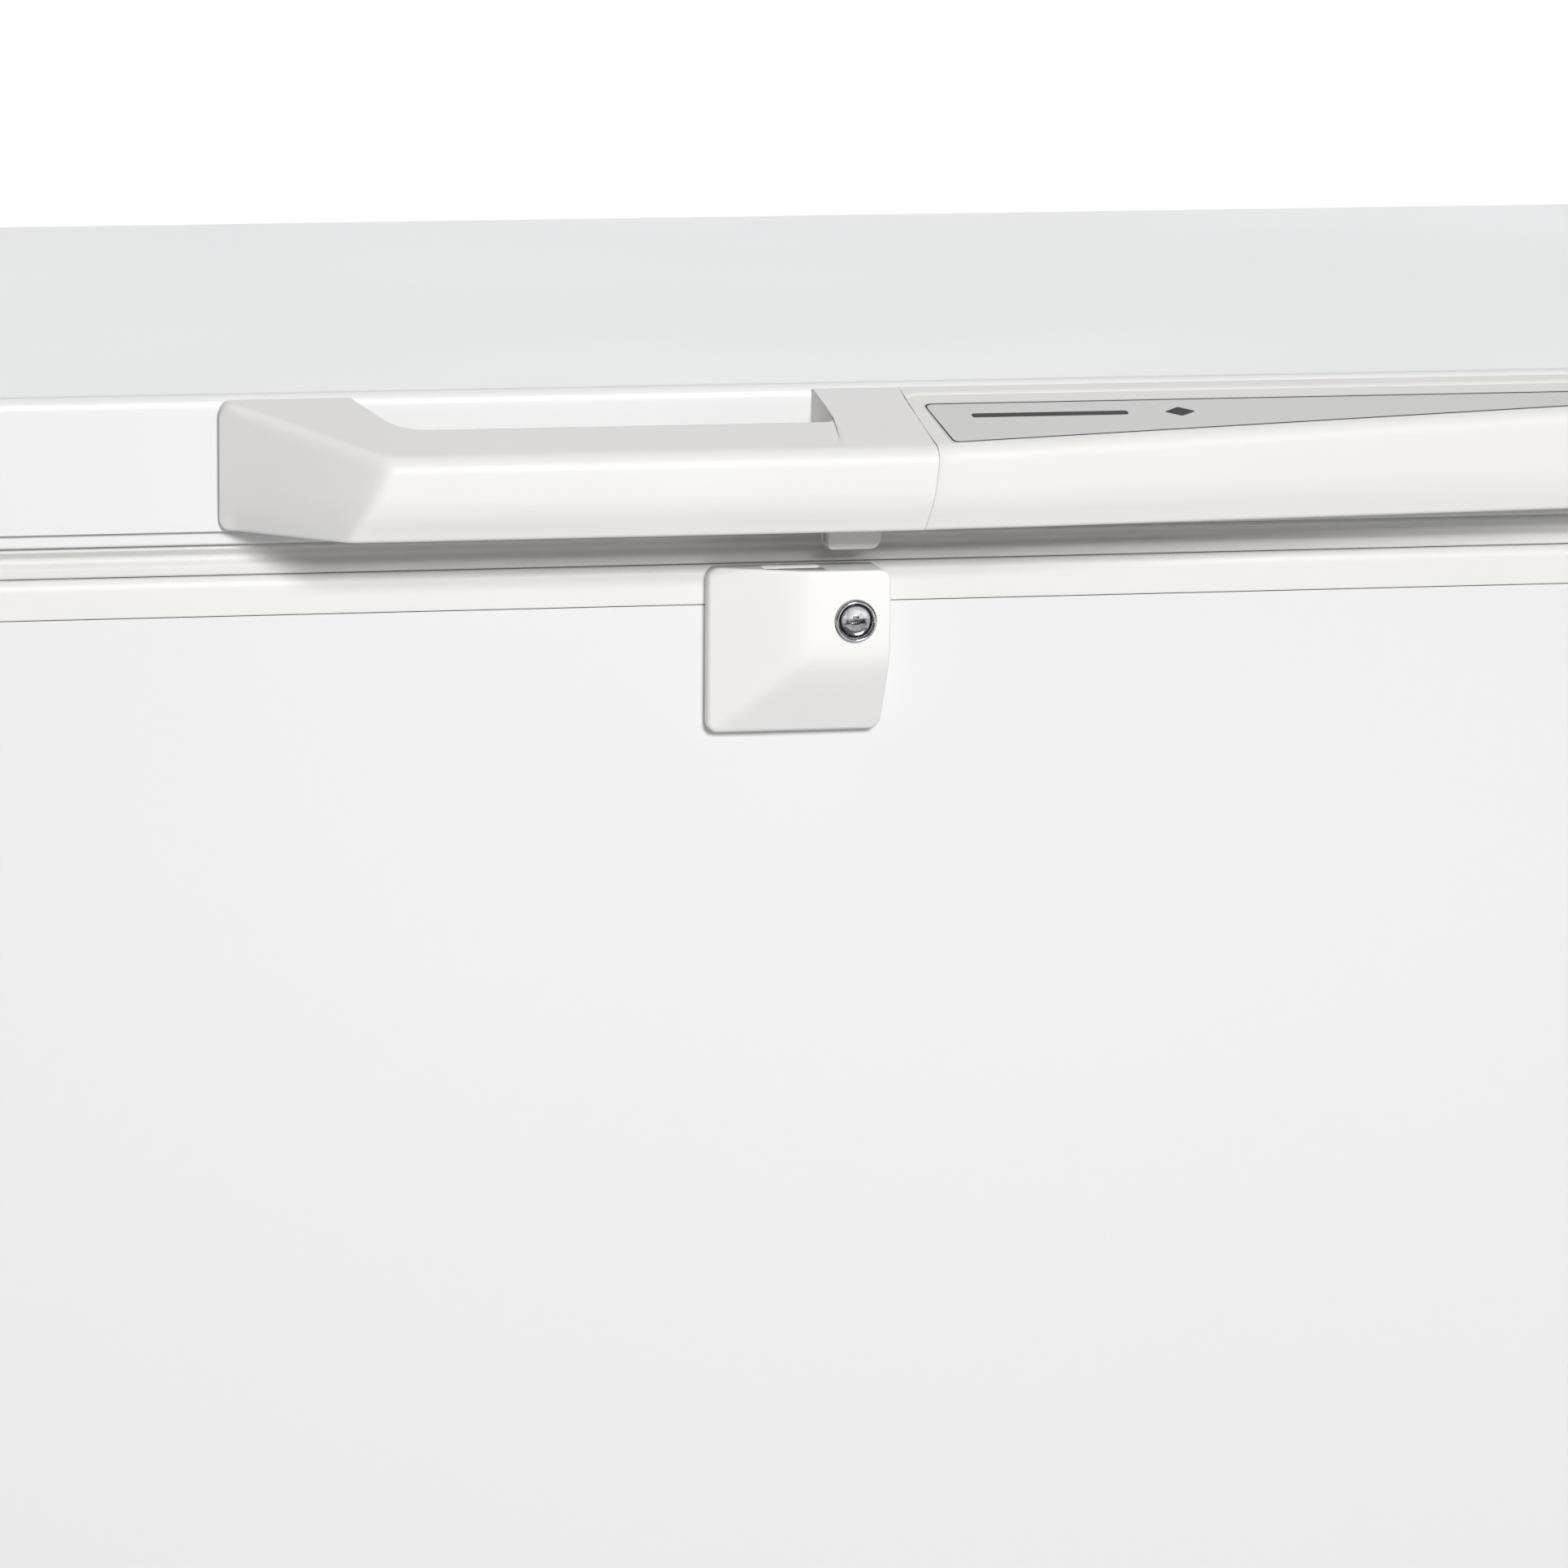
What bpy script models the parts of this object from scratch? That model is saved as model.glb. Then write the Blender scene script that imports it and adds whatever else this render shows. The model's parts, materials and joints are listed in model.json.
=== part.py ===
"""A chest freezer with a hinged, lockable lid.

Frame: +X to the right as seen from the front, the front faces -Y, +Z up. The origin is on the
floor, in the middle of the overall width and depth. All sizes are in metres.
"""

import math
from collections import namedtuple

import bmesh
import bpy
from mathutils import Matrix, Vector

# ---------------------------------------------------------------- overall
WIDTH = 1.305  # the lid, side to side
LID_DEPTH = 0.640  # the lid, front to back, without handle and hinges
HEIGHT = 0.850  # floor to lid top
HANDLE_REACH = 0.051  # the handle, in front of the lid
HINGE_REACH = 0.012  # the hinges, behind the lid
GAP = 0.0003  # between pieces that touch
CORNER_STEPS = 4  # facets on each rounded corner
TIGHT_CORNER = 0.0015  # the least corner radius
PAST = 0.010  # how far a cutting shape runs past what it cuts

# ---------------------------------------------------------------- lid
LID_SKIRT = 0.0508
LID_CORNER = 0.012
LID_EDGE = 0.0035
LID_SHEET = 0.001
LINER_INSET = 0.003
LINER_BAND = 0.0053  # the liner's edge that shows below the skirt
LINER_SHEET = 0.0015
LINER_TUCK = 0.008  # how far the liner's edge reaches up inside the skirt
LINER_DROP = 0.008  # how far the liner's middle hangs down
LINER_MARGIN = 0.012  # from the tub opening to the liner's middle
GASKET_INSET = 0.006
GASKET_HEIGHT = 0.0117
GASKET_WIDTH = 0.016
GASKET_WAIST = 0.0022
LAMP_LENGTH = 0.110
LAMP_DEPTH = 0.056
LAMP_DROP = 0.022
LAMP_WALL = 0.002
LAMP_Y = 0.090  # the lamp's middle, behind the middle of the lid

# ---------------------------------------------------------------- cabinet
LID_OVERHANG = 0.004  # the lid past the cabinet at the front and the sides
WALL = 0.065  # outer face to tub opening, and tub to compressor room
CABINET_CORNER = 0.012
OPENING_CORNER = 0.018
SHELL_INSET = 0.0005
SHELL_SHEET = 0.001
FRAME_HEIGHT = 0.0147
FRAME_WALL = 0.003
FRAME_EDGE = 0.003
LEDGE_WIDTH = 0.008  # carries the baskets
LEDGE_DROP = 0.0099
LIP_WALL = 0.002
LIP_DROP = 0.017
BASE_Z = 0.035  # underside of the cabinet
TRAY_FLANGE = 0.013
TUB_SHEET = 0.001
TUB_DRAFT = 0.001
TUB_FLOOR_RADIUS = 0.018
EVAPORATOR_SPACE = 0.010  # between tub and foam
CONDENSER_SPACE = 0.007  # between back sheet and foam
ROOM_LENGTH = 0.262  # the compressor room, from the cabinet's right side
ROOM_HEIGHT = 0.240

# ---------------------------------------------------------------- handle
# Reach is measured forward from the lid's front, x from the middle of the lock.
HANDLE_HEIGHT = 0.050
HANDLE_DROP = 0.0015  # how far below the lid's top the top face starts
HANDLE_SLOPE = 0.365  # fall of the top face for each metre forward
HANDLE_FULL = 0.050  # reach at the top edge of the grip
HANDLE_BULGE = 0.001
HANDLE_TUCK = 0.003  # how far the face turns back at the bottom
HANDLE_EDGE = 0.0015
HANDLE_TIP = 0.003  # reach at both ends
HANDLE_LEFT = -0.2168
GRIP_START = -0.162  # where the left ramp meets the front face, at the top
GRIP_START_LOW = -0.1767  # and at the bottom
TAIL_START = 0.043
TAIL_END = 0.443
TAIL_TIP = 0.461
TAIL_REACH = 0.0186
FINGER_LEFT = -0.168
FINGER_LEFT_DEEP = -0.154
FINGER_RIGHT = 0.0065
FINGER_RIGHT_DEEP = 0.0105
FINGER_DEPTH = 0.026
FINGER_DEPTH_LOW = 0.030
FINGER_RADIUS_LEFT = 0.012
FINGER_RADIUS_RIGHT = 0.005
SEAM_X = 0.038
SEAM_LEAN = 0.0057  # the seam moves right by this over the reach of the grip
SEAM_LOW = -0.0033  # and left by this at the bottom
SEAM_GAP = 0.0004
COVER_REAR = 0.0075
COVER_CORNER = 0.006
COVER_END = 0.452
COVER_WALL = 0.0024
COVER_TOP_WALL = 0.0032
BADGE_LEFT = 0.0449
BADGE_LEFT_LOW = 0.0497
BADGE_RIGHT = 0.410
BADGE_REAR = 0.0142
BADGE_FRONT = 0.0454
BADGE_FRONT_END = 0.0182
BADGE_THICK = 0.0011

# ---------------------------------------------------------------- lock and striker
STRIKER_LEFT = 0.010
STRIKER_RIGHT = 0.030
STRIKER_REAR = 0.002
STRIKER_FRONT = 0.015
STRIKER_DROP = 0.0105
STRIKER_WALL = 0.0012
STRIKER_CORNER = 0.004
LOCK_HALF = 0.033
LOCK_HEIGHT = 0.0625
LOCK_EDGE = 0.006  # how far the cover's rim stands out
LOCK_REACH = 0.024  # how far its boss stands out
LOCK_WALL = 0.002
BOSS_LEFT = 0.0
BOSS_HEIGHT = 0.034
BARREL_X = 0.0195
BARREL_DROP = 0.0189  # from the top of the lock to the barrel's axis
BARREL_RADIUS = 0.0082
BARREL_WALL = 0.0013
BARREL_PROUD = 0.0015
PLUG_STUB = 0.003
PLUG_TAIL = 0.002  # how far the stub ends behind the cam
PLUG_SUNK = 0.001  # the plug's face, behind the sleeve's rim
CAM_THICK = 0.003
CAM_REACH = 0.005  # the cam's rear face, in front of the lid's front
CAM_CLEAR = 0.0015  # around the cam
CAM_SLOT_LEFT = -0.013  # the slot that the cam swings up through
CAM_SLOT_RIGHT = 0.009
CAM_OUTER = 0.0345
CAM_BAND = 0.003
CAM_HUB = 0.007
CAM_TIP_ANGLE = 180.0
CAM_ARM_START = 215.0
CAM_ARM_END = 235.0
KEYWAY = 0.0018

# ---------------------------------------------------------------- hinges
HINGE_X = 0.420
HINGE_KNUCKLE = 0.0055  # radius of the knuckles
HINGE_AXIS_OUT = HINGE_REACH - HINGE_KNUCKLE  # behind the lid's back
HINGE_AXIS_DROP = 0.0042  # below the skirt
HINGE_PIN = 0.0024
HINGE_PLATE = 0.002
HINGE_HALF = 0.028
BASE_LEAF_HEIGHT = 0.060
LID_LEAF_HEIGHT = 0.040
LID_KNUCKLE_IN = 0.0082
LID_KNUCKLE_OUT = 0.0155
SPRING_WIRE = 0.0008
SPRING_TURNS = 5

# ---------------------------------------------------------------- compressor room
GROMMET_RADIUS = 0.013
GROMMET_BORE = 0.005
GROMMET_HEIGHT = 0.018
PLATE_THICK = 0.003
PLATE_HALF_X = 0.100
PLATE_HALF_Y = 0.075
COMPRESSOR_Y = 0.095
RISER_ASIDE = 0.0743  # from the compressor's axis to the tubes that rise beside it
RISER_NEAR = 0.060  # the two risers, in front of and behind the compressor's axis
RISER_FAR = 0.040
COMPRESSOR_RADIUS = 0.074
COMPRESSOR_HEIGHT = 0.165
TUBE_RADIUS = 0.00325
EVAPORATOR_RUNS = 5
EVAPORATOR_MARGIN = 0.045  # above and below its turns
CONDENSER_RUNS = 6
THIN_TUBE_RADIUS = 0.0024
TUBE_HOLE = 0.006
DRIER_RADIUS = 0.009
DRIER_HEIGHT = 0.090
COVER_RISE = 0.006
COVER_SHEET = 0.0012
COVER_FLANGE = 0.006
INLET_BORE = 0.0035

# ---------------------------------------------------------------- front panels, drains
PANEL_BOTTOM = 0.075
PANEL_HEIGHT = 0.115
PANEL_THICK = 0.008
PANEL_WALL = 0.002
GRILLE_LEFT = 0.380
GRILLE_RIGHT = 0.508
CONTROL_RIGHT = 0.628
SLOTS = 9
SLOT_WIDTH = 0.005
KNOB_RADIUS = 0.019
KNOB_DEPTH = 0.013
SPINDLE_RADIUS = 0.003
SWITCH_HALF_X = 0.007
SWITCH_HALF_Z = 0.011
SWITCH_TILT = 7.0
SWITCH_ASIDE = 0.028  # right of the knob's axis
SWITCH_PROUD = 0.0025
WINDOW_ASIDE = 0.018  # left of the knob's axis
WINDOW_HALF_X = 0.020
WINDOW_HALF_Z = 0.004
THERMOSTAT_HALF_X = 0.020
THERMOSTAT_HALF_Z = 0.018
THERMOSTAT_DEPTH = 0.024  # behind the front panel's face
DRAIN_X = -0.500
DRAIN_Z = 0.083
DRAIN_Y = 0.100  # from the tub's front wall
DRAIN_BORE = 0.007
DRAIN_TUBE = 0.0095
DRAIN_CAP = 0.018
DRAIN_CLEAR = 0.001
DRAIN_MOUTH = 0.004  # how far the pipe stands out of the front panel

# ---------------------------------------------------------------- baskets, feet, rollers
BASKET_LENGTH = 0.235
BASKET_HEIGHT = 0.200
BASKET_WALL = 0.004
BASKET_SIDE_GAP = 0.010
BASKET_TAPER = 0.012
BASKET_RIM = 0.004
BASKET_CORNER = 0.022
FOOT_X = 0.560
FOOT_Y = 0.060  # from the cabinet's front
FOOT_RADIUS = 0.022
ROLLER_Y = 0.075  # from the cabinet's back
ROLLER_RADIUS = 0.018
ROLLER_WIDTH = 0.018
ROLLER_AXLE = 0.003
BRACKET_PLATE = 0.002
BRACKET_HALF_Y = 0.014
BRACKET_FALL = 0.006  # its legs, below the axle's axis
AXLE_PROUD = 0.001

# ---------------------------------------------------------------- worked out from the above
DEPTH = LID_DEPTH + HANDLE_REACH + HINGE_REACH
LID_FRONT = HANDLE_REACH - DEPTH / 2
LID_BACK = LID_FRONT + LID_DEPTH
LID_PLAN = (-WIDTH / 2, WIDTH / 2, LID_FRONT, LID_BACK)
SKIRT_Z = HEIGHT - LID_SKIRT
BAND_Z = SKIRT_Z - LINER_BAND
GASKET_Z = BAND_Z - GASKET_HEIGHT
FRAME_TOP = GASKET_Z - GAP
FRAME_Z = FRAME_TOP - FRAME_HEIGHT
LINER_MIDDLE = LID_OVERHANG + WALL + LINER_MARGIN
LINER_LOW = BAND_Z - LINER_DROP

CABINET_RIGHT = WIDTH / 2 - LID_OVERHANG
CABINET_FRONT = LID_FRONT + LID_OVERHANG
CABINET_BACK = LID_BACK
CABINET_PLAN = (-CABINET_RIGHT, CABINET_RIGHT, CABINET_FRONT, CABINET_BACK)
PANEL_FACE = CABINET_FRONT + SHELL_INSET
INSIDE_SHELL = SHELL_INSET + SHELL_SHEET + GAP
TRAY_TOP = BASE_Z + TRAY_FLANGE
FOAM_Z = TRAY_TOP + GAP
LEDGE_Z = FRAME_TOP - LEDGE_DROP
RIM_Z = LEDGE_Z - FRAME_WALL - GAP
TUB_INSET = WALL - LIP_WALL - GAP
TUB_FLOOR_Z = FOAM_Z + WALL
ROOM_X = CABINET_RIGHT - ROOM_LENGTH
ROOM_TOP = FOAM_Z + ROOM_HEIGHT
STEP_X = ROOM_X - WALL
STEP_Z = ROOM_TOP + WALL
FOAM_INSET = TUB_INSET - TUB_SHEET - EVAPORATOR_SPACE
FOAM_BACK_Y = CABINET_BACK - INSIDE_SHELL - CONDENSER_SPACE

HINGE_Y = LID_BACK + HINGE_AXIS_OUT
HINGE_Z = SKIRT_Z - HINGE_AXIS_DROP
LOCK_TOP = FRAME_TOP
BARREL_Z = LOCK_TOP - BARREL_DROP
GROMMET_TOP = FOAM_Z + GROMMET_HEIGHT
PLATE_TOP = GROMMET_TOP + GAP + PLATE_THICK
COMPRESSOR_Z = PLATE_TOP + GAP
TUBE_INSET = TUB_INSET - TUB_SHEET - EVAPORATOR_SPACE / 2
RISER_X = CABINET_RIGHT - TUBE_INSET
COMPRESSOR_X = RISER_X - RISER_ASIDE
RISER_LOW = ROOM_TOP - 0.010
CONDENSER_Y = FOAM_BACK_Y + CONDENSER_SPACE / 2
DRAIN_TUBE_Y = CABINET_FRONT + TUB_INSET + DRAIN_Y
ROLLER_Z = ROLLER_RADIUS

# Looks: colour, roughness, metallic
WHITE_ENAMEL = ((0.80, 0.82, 0.83), 0.35, 0.0)
WHITE_PLASTIC = ((0.83, 0.83, 0.81), 0.45, 0.0)
SEAL_WHITE = ((0.76, 0.76, 0.74), 0.60, 0.0)
BADGE_GREY = ((0.60, 0.60, 0.59), 0.40, 0.2)
CLEAR_PLASTIC = ((0.85, 0.88, 0.90), 0.20, 0.0)
FOAM_CREAM = ((0.78, 0.68, 0.45), 0.90, 0.0)
ALUMINIUM = ((0.78, 0.79, 0.80), 0.35, 1.0)
ZINC = ((0.62, 0.63, 0.64), 0.40, 1.0)
CHROME = ((0.75, 0.75, 0.76), 0.12, 1.0)
COPPER = ((0.72, 0.38, 0.24), 0.30, 1.0)
BLACK_ENAMEL = ((0.02, 0.02, 0.02), 0.35, 0.0)
BLACK_PLASTIC = ((0.03, 0.03, 0.03), 0.50, 0.0)
RUBBER = ((0.04, 0.04, 0.04), 0.80, 0.0)
GREY_PLASTIC = ((0.30, 0.31, 0.32), 0.50, 0.0)

Section = namedtuple("Section", "inset z right", defaults=(None,))


# ================================================================ building blocks


def finish(name, colour, roughness, metallic):
    """Makes the material of one piece."""
    material = bpy.data.materials.new(name)
    material.use_nodes = True
    shader = material.node_tree.nodes["Principled BSDF"]
    shader.inputs["Base Color"].default_value = (*colour, 1.0)
    shader.inputs["Roughness"].default_value = roughness
    shader.inputs["Metallic"].default_value = metallic
    return material


def pivot(name, place):
    """An empty on a joint's axis, which carries the pieces that turn or slide there."""
    empty = bpy.data.objects.new(name, None)
    empty.empty_display_size = 0.03
    empty.location = place
    bpy.context.scene.collection.objects.link(empty)
    return empty


def add_object(name, skin, place):
    """Puts a skin given in world coordinates into an object whose origin is at place."""
    bmesh.ops.recalc_face_normals(skin, faces=skin.faces)
    bmesh.ops.translate(skin, verts=skin.verts, vec=-Vector(place))
    mesh = bpy.data.meshes.new(name)
    skin.to_mesh(mesh)
    skin.free()
    mesh.shade_smooth()
    mesh.set_sharp_from_angle(angle=math.radians(35))
    thing = bpy.data.objects.new(name, mesh)
    thing.location = place
    bpy.context.scene.collection.objects.link(thing)
    return thing


def add_piece(name, skin, look, carrier=None):
    """Adds one sub-part. A moving one takes its origin from the empty that carries it."""
    place = carrier.location if carrier else Vector((0.0, 0.0, 0.0))
    piece = add_object(name, skin, place)
    piece.data.materials.append(finish(name, *look))
    if carrier:
        piece.parent = carrier
        piece.matrix_parent_inverse = Matrix.Translation(-place)
    return piece


def shape(piece, skin, operation):
    """Cuts a piece with a skin, joins the skin to it, or keeps only what lies inside the skin."""
    tool = add_object("tool_" + piece.name, skin, piece.location)
    tool.hide_render = True
    tool.display_type = "WIRE"
    tool.parent = piece
    tool.matrix_parent_inverse = Matrix.Translation(-piece.location)
    modifier = piece.modifiers.new(operation.title(), "BOOLEAN")
    modifier.operation = operation
    modifier.solver = "EXACT"
    modifier.object = tool


def cut(piece, skin):
    """Takes a skin's volume out of a piece."""
    shape(piece, skin, "DIFFERENCE")


def join(piece, skin):
    """Adds a skin's volume to a piece."""
    shape(piece, skin, "UNION")


def keep(piece, skin):
    """Leaves only the part of a piece that lies inside a skin."""
    shape(piece, skin, "INTERSECT")


def box(low, high):
    """A block between two opposite corners."""
    low = Vector(low)
    high = Vector(high)
    skin = bmesh.new()
    bmesh.ops.create_cube(skin, size=1.0)
    place = Matrix.Translation((low + high) / 2)
    size = Matrix.Diagonal((*(high - low), 1.0))
    bmesh.ops.transform(skin, matrix=place @ size, verts=skin.verts)
    return skin


def loft(loops, ring=False):
    """A closed skin through loops of equal length. A ring joins its last loop to its first."""
    skin = bmesh.new()
    rows = [[skin.verts.new(point) for point in loop] for loop in loops]
    pairs = list(zip(rows, rows[1:]))
    if ring:
        pairs.append((rows[-1], rows[0]))
    else:
        skin.faces.new(rows[0])
        skin.faces.new(rows[-1])
    for row, following in pairs:
        for i in range(len(row)):
            j = (i + 1) % len(row)
            skin.faces.new((row[i], row[j], following[j], following[i]))
    return skin


def turned(profile, centre, axis, steps=20):
    """Spins points (radius, distance along the axis). A profile off the axis closes on itself."""
    skin = bmesh.new()
    turn = Vector((0.0, 0.0, 1.0)).rotation_difference(Vector(axis)).to_matrix()
    rows = []
    for radius, along in profile:
        count = steps if radius > 0 else 1
        row = []
        for i in range(count):
            angle = math.tau * i / steps
            point = Vector((radius * math.cos(angle), radius * math.sin(angle), along))
            row.append(skin.verts.new(Vector(centre) + turn @ point))
        rows.append(row)
    pairs = list(zip(rows, rows[1:]))
    if len(rows[0]) > 1:
        pairs.append((rows[-1], rows[0]))
    for row, following in pairs:
        if len(row) == 1 and len(following) == 1:
            continue
        for i in range(steps):
            j = (i + 1) % steps
            near = [row[i], row[j]] if len(row) > 1 else [row[0]]
            far = [following[j], following[i]] if len(following) > 1 else [following[0]]
            skin.faces.new(near + far)
    return skin


def fillet(before, corner, after, radius, steps):
    """The arc that rounds one corner of a route or an outline."""
    back = (before - corner).normalized()
    ahead = (after - corner).normalized()
    half = back.angle(ahead) / 2
    middle = corner + (back + ahead).normalized() * radius / math.sin(half)
    start = corner + back * radius / math.tan(half) - middle
    end = corner + ahead * radius / math.tan(half) - middle
    sweep = math.pi - 2 * half
    points = []
    for k in range(steps + 1):
        share = k / steps
        before_share = math.sin((1 - share) * sweep) / math.sin(sweep)
        after_share = math.sin(share * sweep) / math.sin(sweep)
        points.append(middle + start * before_share + end * after_share)
    return points


def rounded_outline(corners, steps=CORNER_STEPS):
    """A closed flat outline from corners (a, b, radius), as a list of pairs."""
    points = []
    places = [Vector((a, b, 0.0)) for a, b, _ in corners]
    for i, (_, _, radius) in enumerate(corners):
        following = places[(i + 1) % len(places)]
        if radius > 0:
            arc = fillet(places[i - 1], places[i], following, radius, steps)
            points.extend((p.x, p.y) for p in arc)
        else:
            points.append((places[i].x, places[i].y))
    return points


def rounded_route(corners, radii, steps=3):
    """An open route whose inner corners are rounded, all alike or by a list of radii."""
    places = [Vector(corner) for corner in corners]
    if isinstance(radii, float):
        radii = [radii] * (len(places) - 2)
    points = [places[0]]
    for before, corner, after, radius in zip(places, places[1:], places[2:], radii):
        points.extend(fillet(before, corner, after, radius, steps))
    points.append(places[-1])
    return points


def rectangle(x0, x1, y0, y1, radius):
    """The outline of a rectangle with rounded corners."""
    return rounded_outline([(x0, y0, radius), (x1, y0, radius), (x1, y1, radius), (x0, y1, radius)])


def prism(outline, axis, low, high):
    """An outline carried along an axis: (y, z) along X, (x, z) along Y or (x, y) along Z."""
    place = {
        "X": lambda a, b, c: (c, a, b),
        "Y": lambda a, b, c: (a, c, b),
        "Z": lambda a, b, c: (a, b, c),
    }[axis]
    return loft([[place(a, b, c) for a, b in outline] for c in (low, high)])


def tube(route, radius, sides=6, bore=0.0):
    """A round rod, or with a bore an open pipe, along a route."""
    route = [Vector(point) for point in route]
    outer = []
    inner = []
    heading = (route[1] - route[0]).normalized()
    across = heading.orthogonal().normalized()
    for i, point in enumerate(route):
        before = route[max(i - 1, 0)]
        after = route[min(i + 1, len(route) - 1)]
        turned_heading = (after - before).normalized()
        across = heading.rotation_difference(turned_heading) @ across
        heading = turned_heading
        up = heading.cross(across)
        arms = []
        for k in range(sides):
            angle = math.tau * k / sides
            arms.append(across * math.cos(angle) + up * math.sin(angle))
        outer.append([point + arm * radius for arm in arms])
        inner.append([point + arm * bore for arm in arms])
    if bore > 0:
        return loft(outer + inner[::-1], ring=True)
    return loft(outer)


def cabinet_corner(inset):
    """Corner radius: follows the shell near the outside and the tub opening near the inside."""
    if inset < WALL / 2:
        return max(CABINET_CORNER - inset, TIGHT_CORNER)
    return OPENING_CORNER + WALL - inset


def lid_corner(inset):
    """Corner radius that follows the lid's outer corner."""
    return max(LID_CORNER - inset, TIGHT_CORNER)


def nested(plan, corner_at, sections):
    """Level loops of one plan, each drawn in and raised as its section says."""
    loops = []
    for inset, z, right in sections:
        x0, x1, y0, y1 = plan
        x1 = x1 - inset if right is None else right
        outline = rectangle(x0 + inset, x1, y0 + inset, y1 - inset, corner_at(inset))
        loops.append([(x, y, z) for x, y in outline])
    return loops


def rounded_edge(inset, z, radius, steps=3):
    """Sections that round an upper edge, from the top inwards to the side."""
    sections = []
    for k in range(steps + 1):
        angle = math.radians(90.0 * k / steps)
        drawn_in = radius * (1 - math.sin(angle))
        dropped = radius * (1 - math.cos(angle))
        sections.append(Section(inset + drawn_in, z - dropped))
    return sections


# ================================================================ lid


def make_lid_skin(lid):
    """The painted steel top with its skirt, open below."""
    inner = LID_EDGE - LID_SHEET
    sections = rounded_edge(0.0, HEIGHT, LID_EDGE)
    sections.append(Section(0.0, SKIRT_Z))
    sections.append(Section(LID_SHEET, SKIRT_Z))
    sections.extend(reversed(rounded_edge(LID_SHEET, HEIGHT - LID_SHEET, inner, steps=2)))
    add_piece("lid_skin", loft(nested(LID_PLAN, lid_corner, sections)), WHITE_ENAMEL, lid)


def make_lid_liner(lid):
    """The moulded inner liner: an edge band, a flat margin and a middle that hangs lower."""
    slope = LINER_DROP * 1.2
    outer = [
        Section(LINER_MIDDLE + slope, LINER_LOW),
        Section(LINER_MIDDLE, BAND_Z),
        Section(LINER_INSET, BAND_Z),
        Section(LINER_INSET, SKIRT_Z + LINER_TUCK),
    ]
    inner = [
        Section(LINER_INSET + LINER_SHEET, SKIRT_Z + LINER_TUCK),
        Section(LINER_INSET + LINER_SHEET, BAND_Z + LINER_SHEET),
        Section(LINER_MIDDLE + LINER_SHEET, BAND_Z + LINER_SHEET),
        Section(LINER_MIDDLE + LINER_SHEET + slope, LINER_LOW + LINER_SHEET),
    ]
    loops = nested(LID_PLAN, lid_corner, outer + inner)
    add_piece("lid_liner", loft(loops), WHITE_PLASTIC, lid)


def make_lid_foam(lid):
    """The insulation that fills the space between skin and liner."""
    slope = LINER_DROP * 1.2
    over_liner = LINER_SHEET + GAP
    beside_liner = LINER_INSET + LINER_SHEET + GAP
    beside_skin = LID_SHEET + GAP
    top = HEIGHT - LID_SHEET - GAP
    sections = [
        Section(LINER_MIDDLE + slope + 2 * over_liner, LINER_LOW + over_liner),
        Section(LINER_MIDDLE + 2 * over_liner, BAND_Z + over_liner),
        Section(beside_liner, BAND_Z + over_liner),
        Section(beside_liner, SKIRT_Z + LINER_TUCK + GAP),
        Section(beside_skin, SKIRT_Z + LINER_TUCK + GAP),
        Section(beside_skin, top - LID_EDGE),
        Section(beside_skin + LID_EDGE, top),
    ]
    add_piece("lid_foam", loft(nested(LID_PLAN, lid_corner, sections)), FOAM_CREAM, lid)


def make_lid_gasket(lid):
    """The soft magnetic seal around the lid, waisted on both sides."""
    top = BAND_Z - GAP
    outer = GASKET_INSET
    inner = GASKET_INSET + GASKET_WIDTH
    third = GASKET_HEIGHT / 3
    sections = [
        Section(outer, top),
        Section(outer, top - third / 2),
        Section(outer + GASKET_WAIST, top - third),
        Section(outer + GASKET_WAIST, top - 1.6 * third),
        Section(outer, top - 2 * third),
        Section(outer, GASKET_Z),
        Section(inner, GASKET_Z),
        Section(inner, top - 2 * third),
        Section(inner - GASKET_WAIST, top - 1.5 * third),
        Section(inner, top),
    ]
    add_piece("lid_gasket", loft(nested(LID_PLAN, lid_corner, sections), ring=True), SEAL_WHITE, lid)


def make_lid_lamp(lid):
    """The lamp under the lid: a base plate and a clear cover that hangs below it."""
    middle = (LID_FRONT + LID_BACK) / 2 + LAMP_Y
    plan = (-LAMP_LENGTH / 2, LAMP_LENGTH / 2, middle - LAMP_DEPTH / 2, middle + LAMP_DEPTH / 2)
    base_top = LINER_LOW - GAP
    base_low = base_top - 2 * LAMP_WALL

    def corner(inset):
        return LAMP_DEPTH / 8 - min(inset, LAMP_DEPTH / 16)

    base = [Section(0.0, base_top), Section(0.0, base_low)]
    add_piece("lamp_housing", loft(nested(plan, corner, base)), WHITE_PLASTIC, lid)
    rim = base_low - GAP
    low = base_top - LAMP_DROP
    rounding = 3 * LAMP_WALL
    cover = [
        Section(LAMP_WALL + rounding, low),
        Section(LAMP_WALL, low + rounding),
        Section(LAMP_WALL, rim),
        Section(2 * LAMP_WALL, rim),
        Section(2 * LAMP_WALL, low + rounding),
        Section(LAMP_WALL + rounding, low + LAMP_WALL),
    ]
    add_piece("lamp_lens", loft(nested(plan, corner, cover)), CLEAR_PLASTIC, lid)


# ================================================================ handle


def in_front(reach):
    """The y of a point this far in front of the lid."""
    return LID_FRONT - reach


def on_slope(reach):
    """The z of the handle's top face at a reach."""
    return HEIGHT - HANDLE_DROP - HANDLE_SLOPE * reach


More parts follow.
